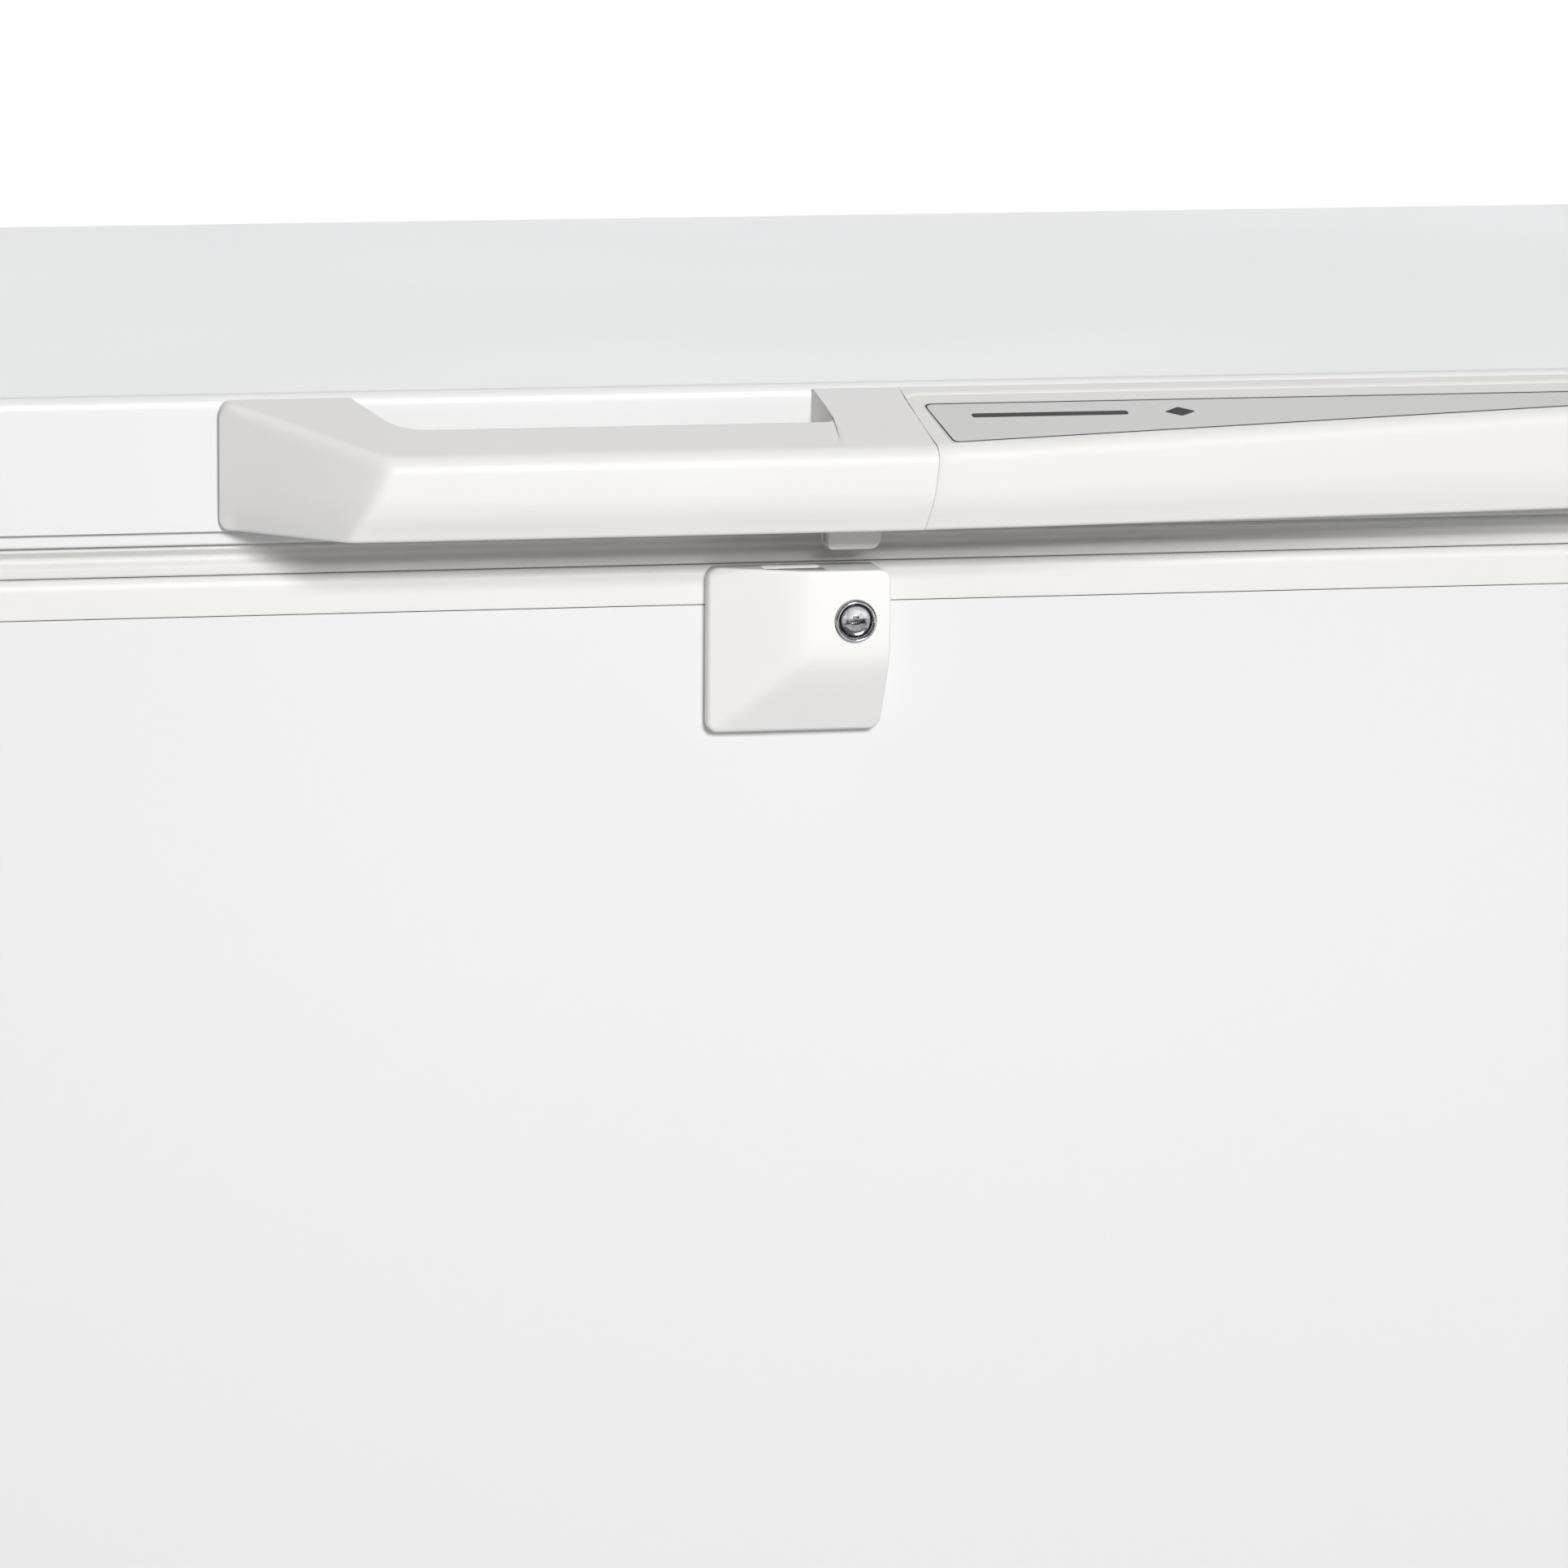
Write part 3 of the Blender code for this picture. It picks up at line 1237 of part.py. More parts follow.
def make_compressor_mount():
    """The plate under the compressor and its four rubber grommets."""
    x, y = COMPRESSOR_X, COMPRESSOR_Y
    outline = rectangle(
        x - PLATE_HALF_X, x + PLATE_HALF_X, y - PLATE_HALF_Y, y + PLATE_HALF_Y, GROMMET_RADIUS
    )
    plate = add_piece("compressor_plate", prism(outline, "Z", GROMMET_TOP + GAP, PLATE_TOP), ZINC)
    bore = [(0.0, 0.0), (GROMMET_BORE, 0.0), (GROMMET_BORE, 2 * PLATE_TOP), (0.0, 2 * PLATE_TOP)]
    for number, (gx, gy) in enumerate(grommet_places(), start=1):
        cut(plate, turned(bore, (gx, gy, 0.0), (0, 0, 1), steps=10))
        waist = GROMMET_RADIUS * 0.8
        h = GROMMET_HEIGHT
        profile = [
            (GROMMET_BORE, 0.0), (GROMMET_RADIUS, 0.0), (GROMMET_RADIUS, 0.3 * h),
            (waist, 0.5 * h), (GROMMET_RADIUS, 0.7 * h), (GROMMET_RADIUS, h), (GROMMET_BORE, h),
        ]
        skin = turned(profile, (gx, gy, FOAM_Z), (0, 0, 1), steps=14)
        add_piece(f"compressor_grommet_{number}", skin, RUBBER)


def make_relay_cover():
    """The electrical cover on the compressor's front."""
    depth = 0.034
    y1 = COMPRESSOR_Y - COMPRESSOR_RADIUS - GAP
    z0 = COMPRESSOR_Z + 0.15 * COMPRESSOR_HEIGHT
    outline = rectangle(COMPRESSOR_X - 0.028, COMPRESSOR_X + 0.028, z0, z0 + 0.062, 0.006)
    small = rectangle(COMPRESSOR_X - 0.024, COMPRESSOR_X + 0.024, z0 + 0.004, z0 + 0.058, 0.005)
    loops = []
    for points, y in ((outline, y1), (outline, y1 - depth + 0.005), (small, y1 - depth)):
        loops.append([(x, y, z) for x, z in points])
    add_piece("relay_cover", loft(loops), BLACK_PLASTIC)


def make_room_tubes():
    """The suction, discharge and capillary tubes and the filter drier in the compressor room."""
    near, far = riser_places()
    side = COMPRESSOR_X + COMPRESSOR_RADIUS + GAP
    port = COMPRESSOR_Z + 0.42 * COMPRESSOR_HEIGHT
    end = RISER_LOW - GAP
    far_end, _ = condenser_ends()
    bend = 0.010
    suction = [
        (RISER_X, far, end),
        (RISER_X, far, port + 0.060),
        (RISER_X + 0.012, COMPRESSOR_Y + 0.012, port + 0.030),
        (RISER_X + 0.012, COMPRESSOR_Y, port),
        (side, COMPRESSOR_Y, port),
    ]
    add_piece("suction_tube", tube(rounded_route(suction, bend), TUBE_RADIUS), COPPER)
    back = COMPRESSOR_Y + COMPRESSOR_RADIUS + GAP
    discharge = [
        (far_end, CONDENSER_Y, end),
        (far_end, CONDENSER_Y, port + 0.030),
        (far_end - 0.030, back + 0.060, port + 0.010),
        (COMPRESSOR_X + 0.010, back + 0.060, port),
        (COMPRESSOR_X, back + 0.040, port),
        (COMPRESSOR_X, back, port),
    ]
    add_piece("discharge_tube", tube(rounded_route(discharge, bend), THIN_TUBE_RADIUS), COPPER)
    drier_x, drier_y, drier_top = drier_place()
    low = drier_top - DRIER_HEIGHT
    profile = [
        (0.0, low), (0.3 * DRIER_RADIUS, low), (DRIER_RADIUS, low + 0.012),
        (DRIER_RADIUS, drier_top - 0.012), (0.3 * DRIER_RADIUS, drier_top), (0.0, drier_top),
    ]
    add_piece("filter_drier", turned(profile, (drier_x, drier_y, 0.0), (0, 0, 1), steps=14), COPPER)
    capillary = [
        (drier_x, drier_y, low - GAP),
        (drier_x, drier_y, low - 0.020),
        (drier_x - 0.010, near - 0.080, low - 0.010),
        (drier_x - 0.010, near - 0.080, end - 0.015),
        (RISER_X, near, end - 0.020),
        (RISER_X, near, end),
    ]
    add_piece("capillary_tube", tube(rounded_route(capillary, bend / 2), THIN_TUBE_RADIUS / 2), COPPER)


# ================================================================ front panels


def panel_skin(x0, x1):
    """A shallow moulded tray that faces forward, open behind."""
    z0 = PANEL_BOTTOM
    z1 = PANEL_BOTTOM + PANEL_HEIGHT
    face = PANEL_FACE - PANEL_THICK
    back = PANEL_FACE - GAP
    chamfer = 0.003
    steps = [
        (chamfer, face), (0.0, face + chamfer), (0.0, back), (PANEL_WALL, back),
        (PANEL_WALL, face + chamfer), (chamfer + PANEL_WALL / 2, face + PANEL_WALL),
    ]
    loops = []
    for inset, y in steps:
        outline = rectangle(x0 + inset, x1 - inset, z0 + inset, z1 - inset, 0.006)
        loops.append([(x, y, z) for x, z in outline])
    return loft(loops)


def make_vent_grille():
    """The slotted cover in front of the compressor room."""
    grille = add_piece("vent_grille", panel_skin(GRILLE_LEFT, GRILLE_RIGHT - GAP), WHITE_PLASTIC)
    margin = 0.016
    first = GRILLE_LEFT + margin
    pitch = (GRILLE_RIGHT - margin - SLOT_WIDTH - first) / (SLOTS - 1)
    z0 = PANEL_BOTTOM + margin
    z1 = PANEL_BOTTOM + PANEL_HEIGHT - margin
    for k in range(SLOTS):
        x = first + k * pitch
        cut(grille, box((x, PANEL_FACE - 2 * PAST, z0), (x + SLOT_WIDTH, PANEL_FACE + PAST, z1)))


def control_places():
    """The x of the controls and the z of the knob, the switch and the window."""
    middle = (GRILLE_RIGHT + CONTROL_RIGHT) / 2
    return middle, PANEL_BOTTOM + 0.40 * PANEL_HEIGHT, PANEL_BOTTOM + 0.83 * PANEL_HEIGHT


def make_control_panel():
    """The panel that holds the knob, the rocker switch and the indicator window."""
    panel = add_piece("control_panel", panel_skin(GRILLE_RIGHT, CONTROL_RIGHT), WHITE_PLASTIC)
    x, knob_z, upper_z = control_places()
    radius = SPINDLE_RADIUS + 2 * GAP
    hole = [(0.0, -2 * PAST), (radius, -2 * PAST), (radius, PAST), (0.0, PAST)]
    cut(panel, turned(hole, (x, PANEL_FACE, knob_z), (0, 1, 0), steps=12))
    sx = x + SWITCH_ASIDE
    half_x = SWITCH_HALF_X + 0.0008
    half_z = SWITCH_HALF_Z + 0.0022
    cut(panel, box((sx - half_x, PANEL_FACE - 2 * PAST, upper_z - half_z),
                   (sx + half_x, PANEL_FACE + PAST, upper_z + half_z)))
    wx = x - WINDOW_ASIDE
    half_x = WINDOW_HALF_X + GAP
    half_z = WINDOW_HALF_Z + GAP
    cut(panel, box((wx - half_x, PANEL_FACE - 2 * PAST, upper_z - half_z),
                   (wx + half_x, PANEL_FACE + PAST, upper_z + half_z)))
    window = box(
        (wx - WINDOW_HALF_X, PANEL_FACE - PANEL_THICK - 0.001, upper_z - WINDOW_HALF_Z),
        (wx + WINDOW_HALF_X, PANEL_FACE - PANEL_THICK + 3 * PANEL_WALL, upper_z + WINDOW_HALF_Z),
    )
    add_piece("indicator_window", window, CLEAR_PLASTIC)


def make_thermostat(knob_axis):
    """The thermostat behind the panel, and the knob on its spindle."""
    x, z, _ = control_places()
    body_front = PANEL_FACE - PANEL_THICK + PANEL_WALL + GAP
    body_back = PANEL_FACE + THERMOSTAT_DEPTH
    half_x = THERMOSTAT_HALF_X
    half_z = THERMOSTAT_HALF_Z
    outline = rectangle(x - half_x, x + half_x, z - half_z, z + half_z, 0.004)
    body = add_piece("thermostat", prism(outline, "Y", body_front, body_back), GREY_PLASTIC)
    tip = PANEL_FACE - PANEL_THICK - 0.7 * KNOB_DEPTH
    spindle = [
        (0.0, -body_front - 0.002), (SPINDLE_RADIUS, -body_front - 0.002),
        (SPINDLE_RADIUS, -tip), (0.0, -tip),
    ]
    join(body, turned(spindle, (x, 0.0, z), (0, -1, 0), steps=12))
    back = PANEL_FACE - PANEL_THICK - 2 * GAP
    front = back - KNOB_DEPTH
    rim = 0.0035
    bore = SPINDLE_RADIUS + GAP
    profile = [
        (bore, -back), (KNOB_RADIUS, -back), (KNOB_RADIUS, -back + rim),
        (KNOB_RADIUS * 0.84, -back + 2 * rim), (KNOB_RADIUS * 0.80, -front - 0.001),
        (KNOB_RADIUS * 0.76, -front), (0.0, -front), (0.0, -tip + 2 * GAP), (bore, -tip + 2 * GAP),
    ]
    skin = turned(profile, (x, 0.0, z), (0, -1, 0), steps=24)
    knob = add_piece("thermostat_knob", skin, WHITE_PLASTIC, knob_axis)
    ridge_half = 0.0025
    join(knob, box((x - ridge_half, front - 0.004, z - KNOB_RADIUS * 0.74),
                   (x + ridge_half, front + 0.001, z + KNOB_RADIUS * 0.74)))


def make_switch(rocker):
    """The fast-freeze rocker switch, tilted to its off side at rest."""
    x, _, z = control_places()
    x += SWITCH_ASIDE
    front = PANEL_FACE - PANEL_THICK - SWITCH_PROUD
    back = PANEL_FACE - 0.001
    slope = math.tan(math.radians(SWITCH_TILT)) * SWITCH_HALF_Z
    outline = [
        (front + slope, z - SWITCH_HALF_Z), (front, z), (front + slope, z + SWITCH_HALF_Z),
        (back, z + 0.6 * SWITCH_HALF_Z), (back, z - 0.6 * SWITCH_HALF_Z),
    ]
    skin = prism(outline, "X", x - SWITCH_HALF_X, x + SWITCH_HALF_X)
    tilt = Matrix.Rotation(math.radians(-SWITCH_TILT), 4, "X")
    centre = Matrix.Translation(rocker.location)
    bmesh.ops.transform(skin, matrix=centre @ tilt @ centre.inverted(), verts=skin.verts)
    add_piece("freeze_switch", skin, GREY_PLASTIC, rocker)


# ================================================================ drain, inlet


def make_drain_pipe():
    """The pipe from the tub floor down into the foam and out through the front."""
    front = PANEL_FACE - DRAIN_MOUTH
    corners = [
        (DRAIN_X, DRAIN_TUBE_Y, TUB_FLOOR_Z),
        (DRAIN_X, DRAIN_TUBE_Y, DRAIN_Z),
        (DRAIN_X, front, DRAIN_Z),
    ]
    skin = tube(rounded_route(corners, 0.014), DRAIN_TUBE, sides=12, bore=DRAIN_BORE)
    add_piece("drain_pipe", skin, GREY_PLASTIC)


def make_drain_plug(slide):
    """The stopper in the tub floor, with a knob to lift it by."""
    stem = DRAIN_BORE - 2 * GAP
    flange = DRAIN_TUBE + 0.006
    profile = [
        (0.0, -0.010), (stem - 0.001, -0.010), (stem, -0.008), (stem, GAP), (flange, GAP),
        (flange, 0.003), (0.005, 0.004), (0.005, 0.010), (0.0, 0.010),
    ]
    skin = turned(profile, (DRAIN_X, DRAIN_TUBE_Y, TUB_FLOOR_Z), (0, 0, 1), steps=16)
    add_piece("drain_plug", skin, RUBBER, slide)


def make_drain_cap(slide):
    """The outer cap over the drain pipe's mouth."""
    mouth = DRAIN_MOUTH + GAP
    stem = DRAIN_BORE - 2 * GAP
    bore = DRAIN_TUBE + GAP
    profile = [
        (0.0, -0.008), (stem, -0.008), (stem, mouth), (bore, mouth), (bore, GAP),
        (DRAIN_CAP, GAP), (DRAIN_CAP, 0.005), (DRAIN_CAP - 0.003, 0.009), (0.0, 0.009),
    ]
    skin = turned(profile, (DRAIN_X, PANEL_FACE, DRAIN_Z), (0, -1, 0), steps=20)
    cap = add_piece("drain_cap", skin, WHITE_PLASTIC, slide)
    join(cap, box((DRAIN_X - 0.002, PANEL_FACE - 0.013, DRAIN_Z - 0.012),
                  (DRAIN_X + 0.002, PANEL_FACE - 0.008, DRAIN_Z + 0.012)))


def make_power_inlet():
    """The gland where the supply lead enters, on the cover of the compressor room."""
    x, z = inlet_place()
    length = HINGE_REACH - COVER_RISE - 3 * GAP
    profile = [
        (INLET_BORE, GAP), (0.011, GAP), (0.011, 0.5 * length), (0.008, 0.8 * length),
        (0.0055, length), (INLET_BORE, length),
    ]
    skin = turned(profile, (x, CABINET_BACK + GAP + COVER_RISE, z), (0, 1, 0), steps=16)
    add_piece("power_inlet", skin, BLACK_PLASTIC)


# ================================================================ baskets, feet, rollers


def basket_plan(side):
    """The x and y limits of a basket's mouth at rest, at the left (-1) or right (1) end."""
    x_far = CABINET_RIGHT - WALL - BASKET_SIDE_GAP
    x_near = x_far - BASKET_LENGTH
    x0, x1 = sorted((side * x_far, side * x_near))
    y0 = CABINET_FRONT + WALL + BASKET_SIDE_GAP
    y1 = CABINET_BACK - WALL - BASKET_SIDE_GAP
    return x0, x1, y0, y1


def make_basket(name, side, slide):
    """A hanging basket with a rim that rests on the frame's ledges at the front and the back."""
    top = LEDGE_Z + GAP + BASKET_RIM
    low = top - BASKET_HEIGHT

    def corner(inset):
        return BASKET_CORNER - min(inset, BASKET_CORNER / 2)

    sections = [
        Section(BASKET_TAPER, low),
        Section(0.0, top),
        Section(BASKET_WALL, top),
        Section(BASKET_TAPER + BASKET_WALL, low + BASKET_WALL),
    ]
    plan = basket_plan(side)
    basket = add_piece(name, loft(nested(plan, corner, sections)), WHITE_PLASTIC, slide)
    x0, x1, y0, y1 = plan
    reach = BASKET_SIDE_GAP + LEDGE_WIDTH - 0.002
    for edge, away in ((y0, -1), (y1, 1)):
        ends = sorted((edge + away * reach, edge - away * BASKET_WALL / 2))
        join(basket, box((x0 + BASKET_CORNER, ends[0], top - BASKET_RIM),
                         (x1 - BASKET_CORNER, ends[1], top - GAP)))


def make_foot(name, x):
    """A fixed front foot."""
    y = CABINET_FRONT + FOOT_Y
    top = TRAY_TOP - SHELL_SHEET - GAP
    r = FOOT_RADIUS
    profile = [
        (0.0, 0.0), (r - 0.002, 0.0), (r, 0.002), (r, 0.010), (0.7 * r, 0.014), (0.7 * r, top), (0.0, top),
    ]
    add_piece(name, turned(profile, (x, y, 0.0), (0, 0, 1), steps=18), BLACK_PLASTIC)


def make_roller(side_name, x, spin):
    """A rear roller: a folded bracket with a riveted axle, and the wheel that turns on it."""
    y = CABINET_BACK - ROLLER_Y
    top = TRAY_TOP - SHELL_SHEET - GAP
    half = ROLLER_WIDTH / 2 + 2 * GAP
    outside = half + BRACKET_PLATE
    foot = ROLLER_Z - BRACKET_FALL
    arch = [
        (x - outside, foot), (x - half, foot), (x - half, top - BRACKET_PLATE),
        (x + half, top - BRACKET_PLATE), (x + half, foot), (x + outside, foot),
        (x + outside, top), (x - outside, top),
    ]
    skin = prism(arch, "Y", y - BRACKET_HALF_Y, y + BRACKET_HALF_Y)
    bracket = add_piece("roller_bracket_" + side_name, skin, ZINC)
    end = outside + AXLE_PROUD
    rod = [(0.0, -end), (ROLLER_AXLE, -end), (ROLLER_AXLE, end), (0.0, end)]
    join(bracket, turned(rod, (x, y, ROLLER_Z), (1, 0, 0), steps=12))
    w = ROLLER_WIDTH / 2
    bore = ROLLER_AXLE + GAP
    profile = [
        (bore, -w), (ROLLER_RADIUS - 0.002, -w), (ROLLER_RADIUS, 0.002 - w),
        (ROLLER_RADIUS, w - 0.002), (ROLLER_RADIUS - 0.002, w), (bore, w),
    ]
    wheel = turned(profile, (x, y, ROLLER_Z), (1, 0, 0), steps=24)
    add_piece("roller_wheel_" + side_name, wheel, BLACK_PLASTIC, spin)


# ================================================================ assembly


def clear_scene():
    """Removes whatever the scene holds."""
    for thing in list(bpy.data.objects):
        bpy.data.objects.remove(thing, do_unlink=True)


def build_lid():
    """The lid and all that swings with it."""
    lid = pivot("lid_hinge_axis", (0.0, HINGE_Y, HINGE_Z))
    make_lid_skin(lid)
    make_lid_liner(lid)
    make_lid_foam(lid)
    make_lid_gasket(lid)
    make_lid_lamp(lid)
    make_handle(lid)
    make_striker(lid)
    make_hinges(lid)


def build_lock():
    """The lock on the front of the cabinet."""
    key = pivot("lock_axis", (BARREL_X, in_front(CAM_REACH), BARREL_Z))
    make_lock_housing()
    make_lock_barrel()
    make_lock_plug(key)
    make_lock_cam(key)


def build_cabinet():
    """The body: sheets, foam, tub and frame."""
    make_top_frame()
    make_shell()
    make_cabinet_back()
    make_room_cover()
    make_base_tray()
    make_tub()
    make_foam_body()


def build_refrigeration():
    """The cooling circuit."""
    make_evaporator()
    make_condenser()
    make_compressor()
    make_compressor_mount()
    make_relay_cover()
    make_room_tubes()


def build_controls():
    """The panels low on the front, and the drain."""
    make_vent_grille()
    make_control_panel()
    x, knob_z, upper_z = control_places()
    make_thermostat(pivot("thermostat_axis", (x, PANEL_FACE - PANEL_THICK, knob_z)))
    make_switch(pivot("switch_axis", (x + SWITCH_ASIDE, PANEL_FACE - 0.003, upper_z)))
    make_drain_pipe()
    make_drain_plug(pivot("drain_plug_slide", (DRAIN_X, DRAIN_TUBE_Y, TUB_FLOOR_Z)))
    make_drain_cap(pivot("drain_cap_slide", (DRAIN_X, PANEL_FACE, DRAIN_Z)))
    make_power_inlet()


def build_fittings():
    """Baskets, feet and rollers."""
    for name, side in (("left", -1), ("right", 1)):
        x0, x1, _, _ = basket_plan(side)
        slide = pivot("basket_slide_" + name, ((x0 + x1) / 2, 0.0, LEDGE_Z))
        make_basket("basket_" + name, side, slide)
        make_foot("front_foot_" + name, side * FOOT_X)
        spin = pivot("roller_axis_" + name, (side * FOOT_X, CABINET_BACK - ROLLER_Y, ROLLER_Z))
        make_roller(name, side * FOOT_X, spin)


def main():
    """Builds the whole freezer."""
    clear_scene()
    build_lid()
    build_lock()
    build_cabinet()
    build_refrigeration()
    build_controls()
    build_fittings()


main()
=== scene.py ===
"""Looks of a white chest freezer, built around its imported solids.

Everything stands in the frame of the solids: metres, Z up, X to the right, the front facing -Y.
"""

import functools
import json
import logging
import math
from dataclasses import dataclass, field
from enum import Enum
from typing import Optional, Sequence, Union

import bmesh
import bpy
import numpy as np
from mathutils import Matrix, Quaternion, Vector

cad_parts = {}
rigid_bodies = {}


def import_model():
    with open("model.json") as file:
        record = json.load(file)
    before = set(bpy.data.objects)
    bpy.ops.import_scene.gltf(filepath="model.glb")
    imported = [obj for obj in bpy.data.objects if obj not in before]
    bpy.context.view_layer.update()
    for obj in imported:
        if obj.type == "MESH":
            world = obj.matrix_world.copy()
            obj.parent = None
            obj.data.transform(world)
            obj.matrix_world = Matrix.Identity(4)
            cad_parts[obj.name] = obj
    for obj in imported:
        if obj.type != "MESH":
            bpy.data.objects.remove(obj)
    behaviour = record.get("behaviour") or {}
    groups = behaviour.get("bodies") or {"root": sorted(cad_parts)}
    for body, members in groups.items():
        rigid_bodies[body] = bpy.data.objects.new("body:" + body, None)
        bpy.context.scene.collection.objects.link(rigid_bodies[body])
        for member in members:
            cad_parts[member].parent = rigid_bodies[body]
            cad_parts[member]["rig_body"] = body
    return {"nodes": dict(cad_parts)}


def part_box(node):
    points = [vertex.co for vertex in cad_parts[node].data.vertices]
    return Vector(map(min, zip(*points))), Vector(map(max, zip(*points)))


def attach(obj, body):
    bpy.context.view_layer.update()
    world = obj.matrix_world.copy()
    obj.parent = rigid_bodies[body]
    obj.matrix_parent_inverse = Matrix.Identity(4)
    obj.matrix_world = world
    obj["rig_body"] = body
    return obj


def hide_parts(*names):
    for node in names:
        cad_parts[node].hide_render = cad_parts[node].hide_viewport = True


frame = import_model()
LOG = logging.getLogger("chest_freezer")
Colour = tuple[float, float, float]
Plan = tuple[float, float, float, float]

TINY = 1e-6  # keeps a division from meeting nothing
MERGE = 2e-6  # points closer than this are one
TIGHT = 0.0006  # the least radius of a rounded rectangle's corner
SMOOTH_BELOW = math.radians(38)  # edges that turn by less are shaded smooth
SPARE = 0.04  # from a curve's end to its extra point, as a share of the edge
CLEAR = 0.0003  # the gap between pieces that touch
INWARDS = 0.30  # how far a carried profile reaches towards the lid's middle


# --- shader helpers


class Signal:
    """A number that varies over a surface: a socket that Python's operators work on."""

    def __init__(self, shader: "Shader", socket: bpy.types.NodeSocket) -> None:
        """Wraps a socket of a shader's tree."""
        self.shader = shader
        self.socket = socket

    def __add__(self, other: "Number") -> "Signal":
        """The sum."""
        return self.shader.math("ADD", self, other)

    def __sub__(self, other: "Number") -> "Signal":
        """The difference."""
        return self.shader.math("SUBTRACT", self, other)

    def __rsub__(self, other: "Number") -> "Signal":
        """The difference, the other way round."""
        return self.shader.math("SUBTRACT", other, self)

    def __mul__(self, other: "Number") -> "Signal":
        """The product."""
        return self.shader.math("MULTIPLY", self, other)

    __radd__ = __add__
    __rmul__ = __mul__


Number = Union[float, Signal]


class Shader:
    """A material's node tree around one Principled shader."""

    def __init__(self, name: str) -> None:
        """Makes the material and its two fixed nodes."""
        self.material = bpy.data.materials.new(name)
        self.material.use_nodes = True
        self.tree = self.material.node_tree
        self.tree.nodes.clear()
        self.surface = self.node("ShaderNodeBsdfPrincipled")
        self.node("ShaderNodeOutputMaterial", inputs={"Surface": self.surface.outputs["BSDF"]})

    def node(
        self, kind: str, settings: Optional[dict] = None, inputs: Optional[dict] = None
    ) -> bpy.types.Node:
        """Adds a node.

        Args:
            kind: Blender's name of the node's type.
            settings: properties that are set before its sockets.
            inputs: a value, a socket or a Signal for each input, by name or number.

        Returns:
            The node.
        """
        made = self.tree.nodes.new(kind)
        for name, value in (settings or {}).items():
            setattr(made, name, value)
        for name, value in (inputs or {}).items():
            self.feed(made.inputs[name], value)
        return made

    def feed(self, target: bpy.types.NodeSocket, value: object) -> None:
        """Links a socket or a Signal to an input, or sets a plain value on it."""
        source = value.socket if isinstance(value, Signal) else value
        if isinstance(source, bpy.types.NodeSocket):
            self.tree.links.new(source, target)
        else:
            target.default_value = source

    def math(self, operation: str, *values: Number) -> Signal:
        """Adds a Math node on one, two or three numbers and returns its value."""
        inputs = dict(enumerate(values))
        made = self.node("ShaderNodeMath", {"operation": operation}, inputs)
        return Signal(self, made.outputs[0])

    def noise(self, size: float, detail: float = 2.0, stretch: Colour = (1.0, 1.0, 1.0)) -> Signal:
        """Smooth noise on object coordinates.

        Args:
            size: the size of one patch, in metres.
            detail: how many finer layers are added.
            stretch: how many times finer it is along X, Y and Z.

        Returns:
            The noise, from about 0 to 1.
        """
        where = self.node("ShaderNodeTexCoord").outputs["Object"]
        scaled = self.node("ShaderNodeMapping", inputs={"Vector": where, "Scale": stretch})
        inputs = {"Vector": scaled.outputs[0], "Scale": 1.0 / size, "Detail": detail}
        return Signal(self, self.node("ShaderNodeTexNoise", inputs=inputs).outputs["Fac"])

    def cells(self, size: float) -> Signal:
        """The distance to the nearest of scattered points that are about size apart."""
        where = self.node("ShaderNodeTexCoord").outputs["Object"]
        inputs = {"Vector": where, "Scale": 1.0 / size}
        return Signal(self, self.node("ShaderNodeTexVoronoi", inputs=inputs).outputs["Distance"])

    def blend(self, share: Number, low: Colour, high: Colour) -> bpy.types.NodeSocket:
        """A colour that goes from low to high as share goes from 0 to 1."""
        inputs = {0: share, 6: (*low, 1.0), 7: (*high, 1.0)}
        return self.node("ShaderNodeMix", {"data_type": "RGBA"}, inputs).outputs[2]

    def bump(self, height: Signal, depth: float) -> bpy.types.NodeSocket:
        """A normal that leans as if the surface rose by depth metres times height."""
        inputs = {"Height": height, "Distance": depth, "Strength": 1.0}
        return self.node("ShaderNodeBump", inputs=inputs).outputs["Normal"]


# --- finishes


class Relief(Enum):
    """What the fine height of a finish follows."""

    PEEL = "the soft ripple of sprayed enamel"
    GRAIN = "the fine grain of an eroded mould"
    ROLLED = "faint lines along the sheet"
    STUCCO = "the pressed dimples of a liner sheet"
    RIBBED = "narrow ribs across a lens"


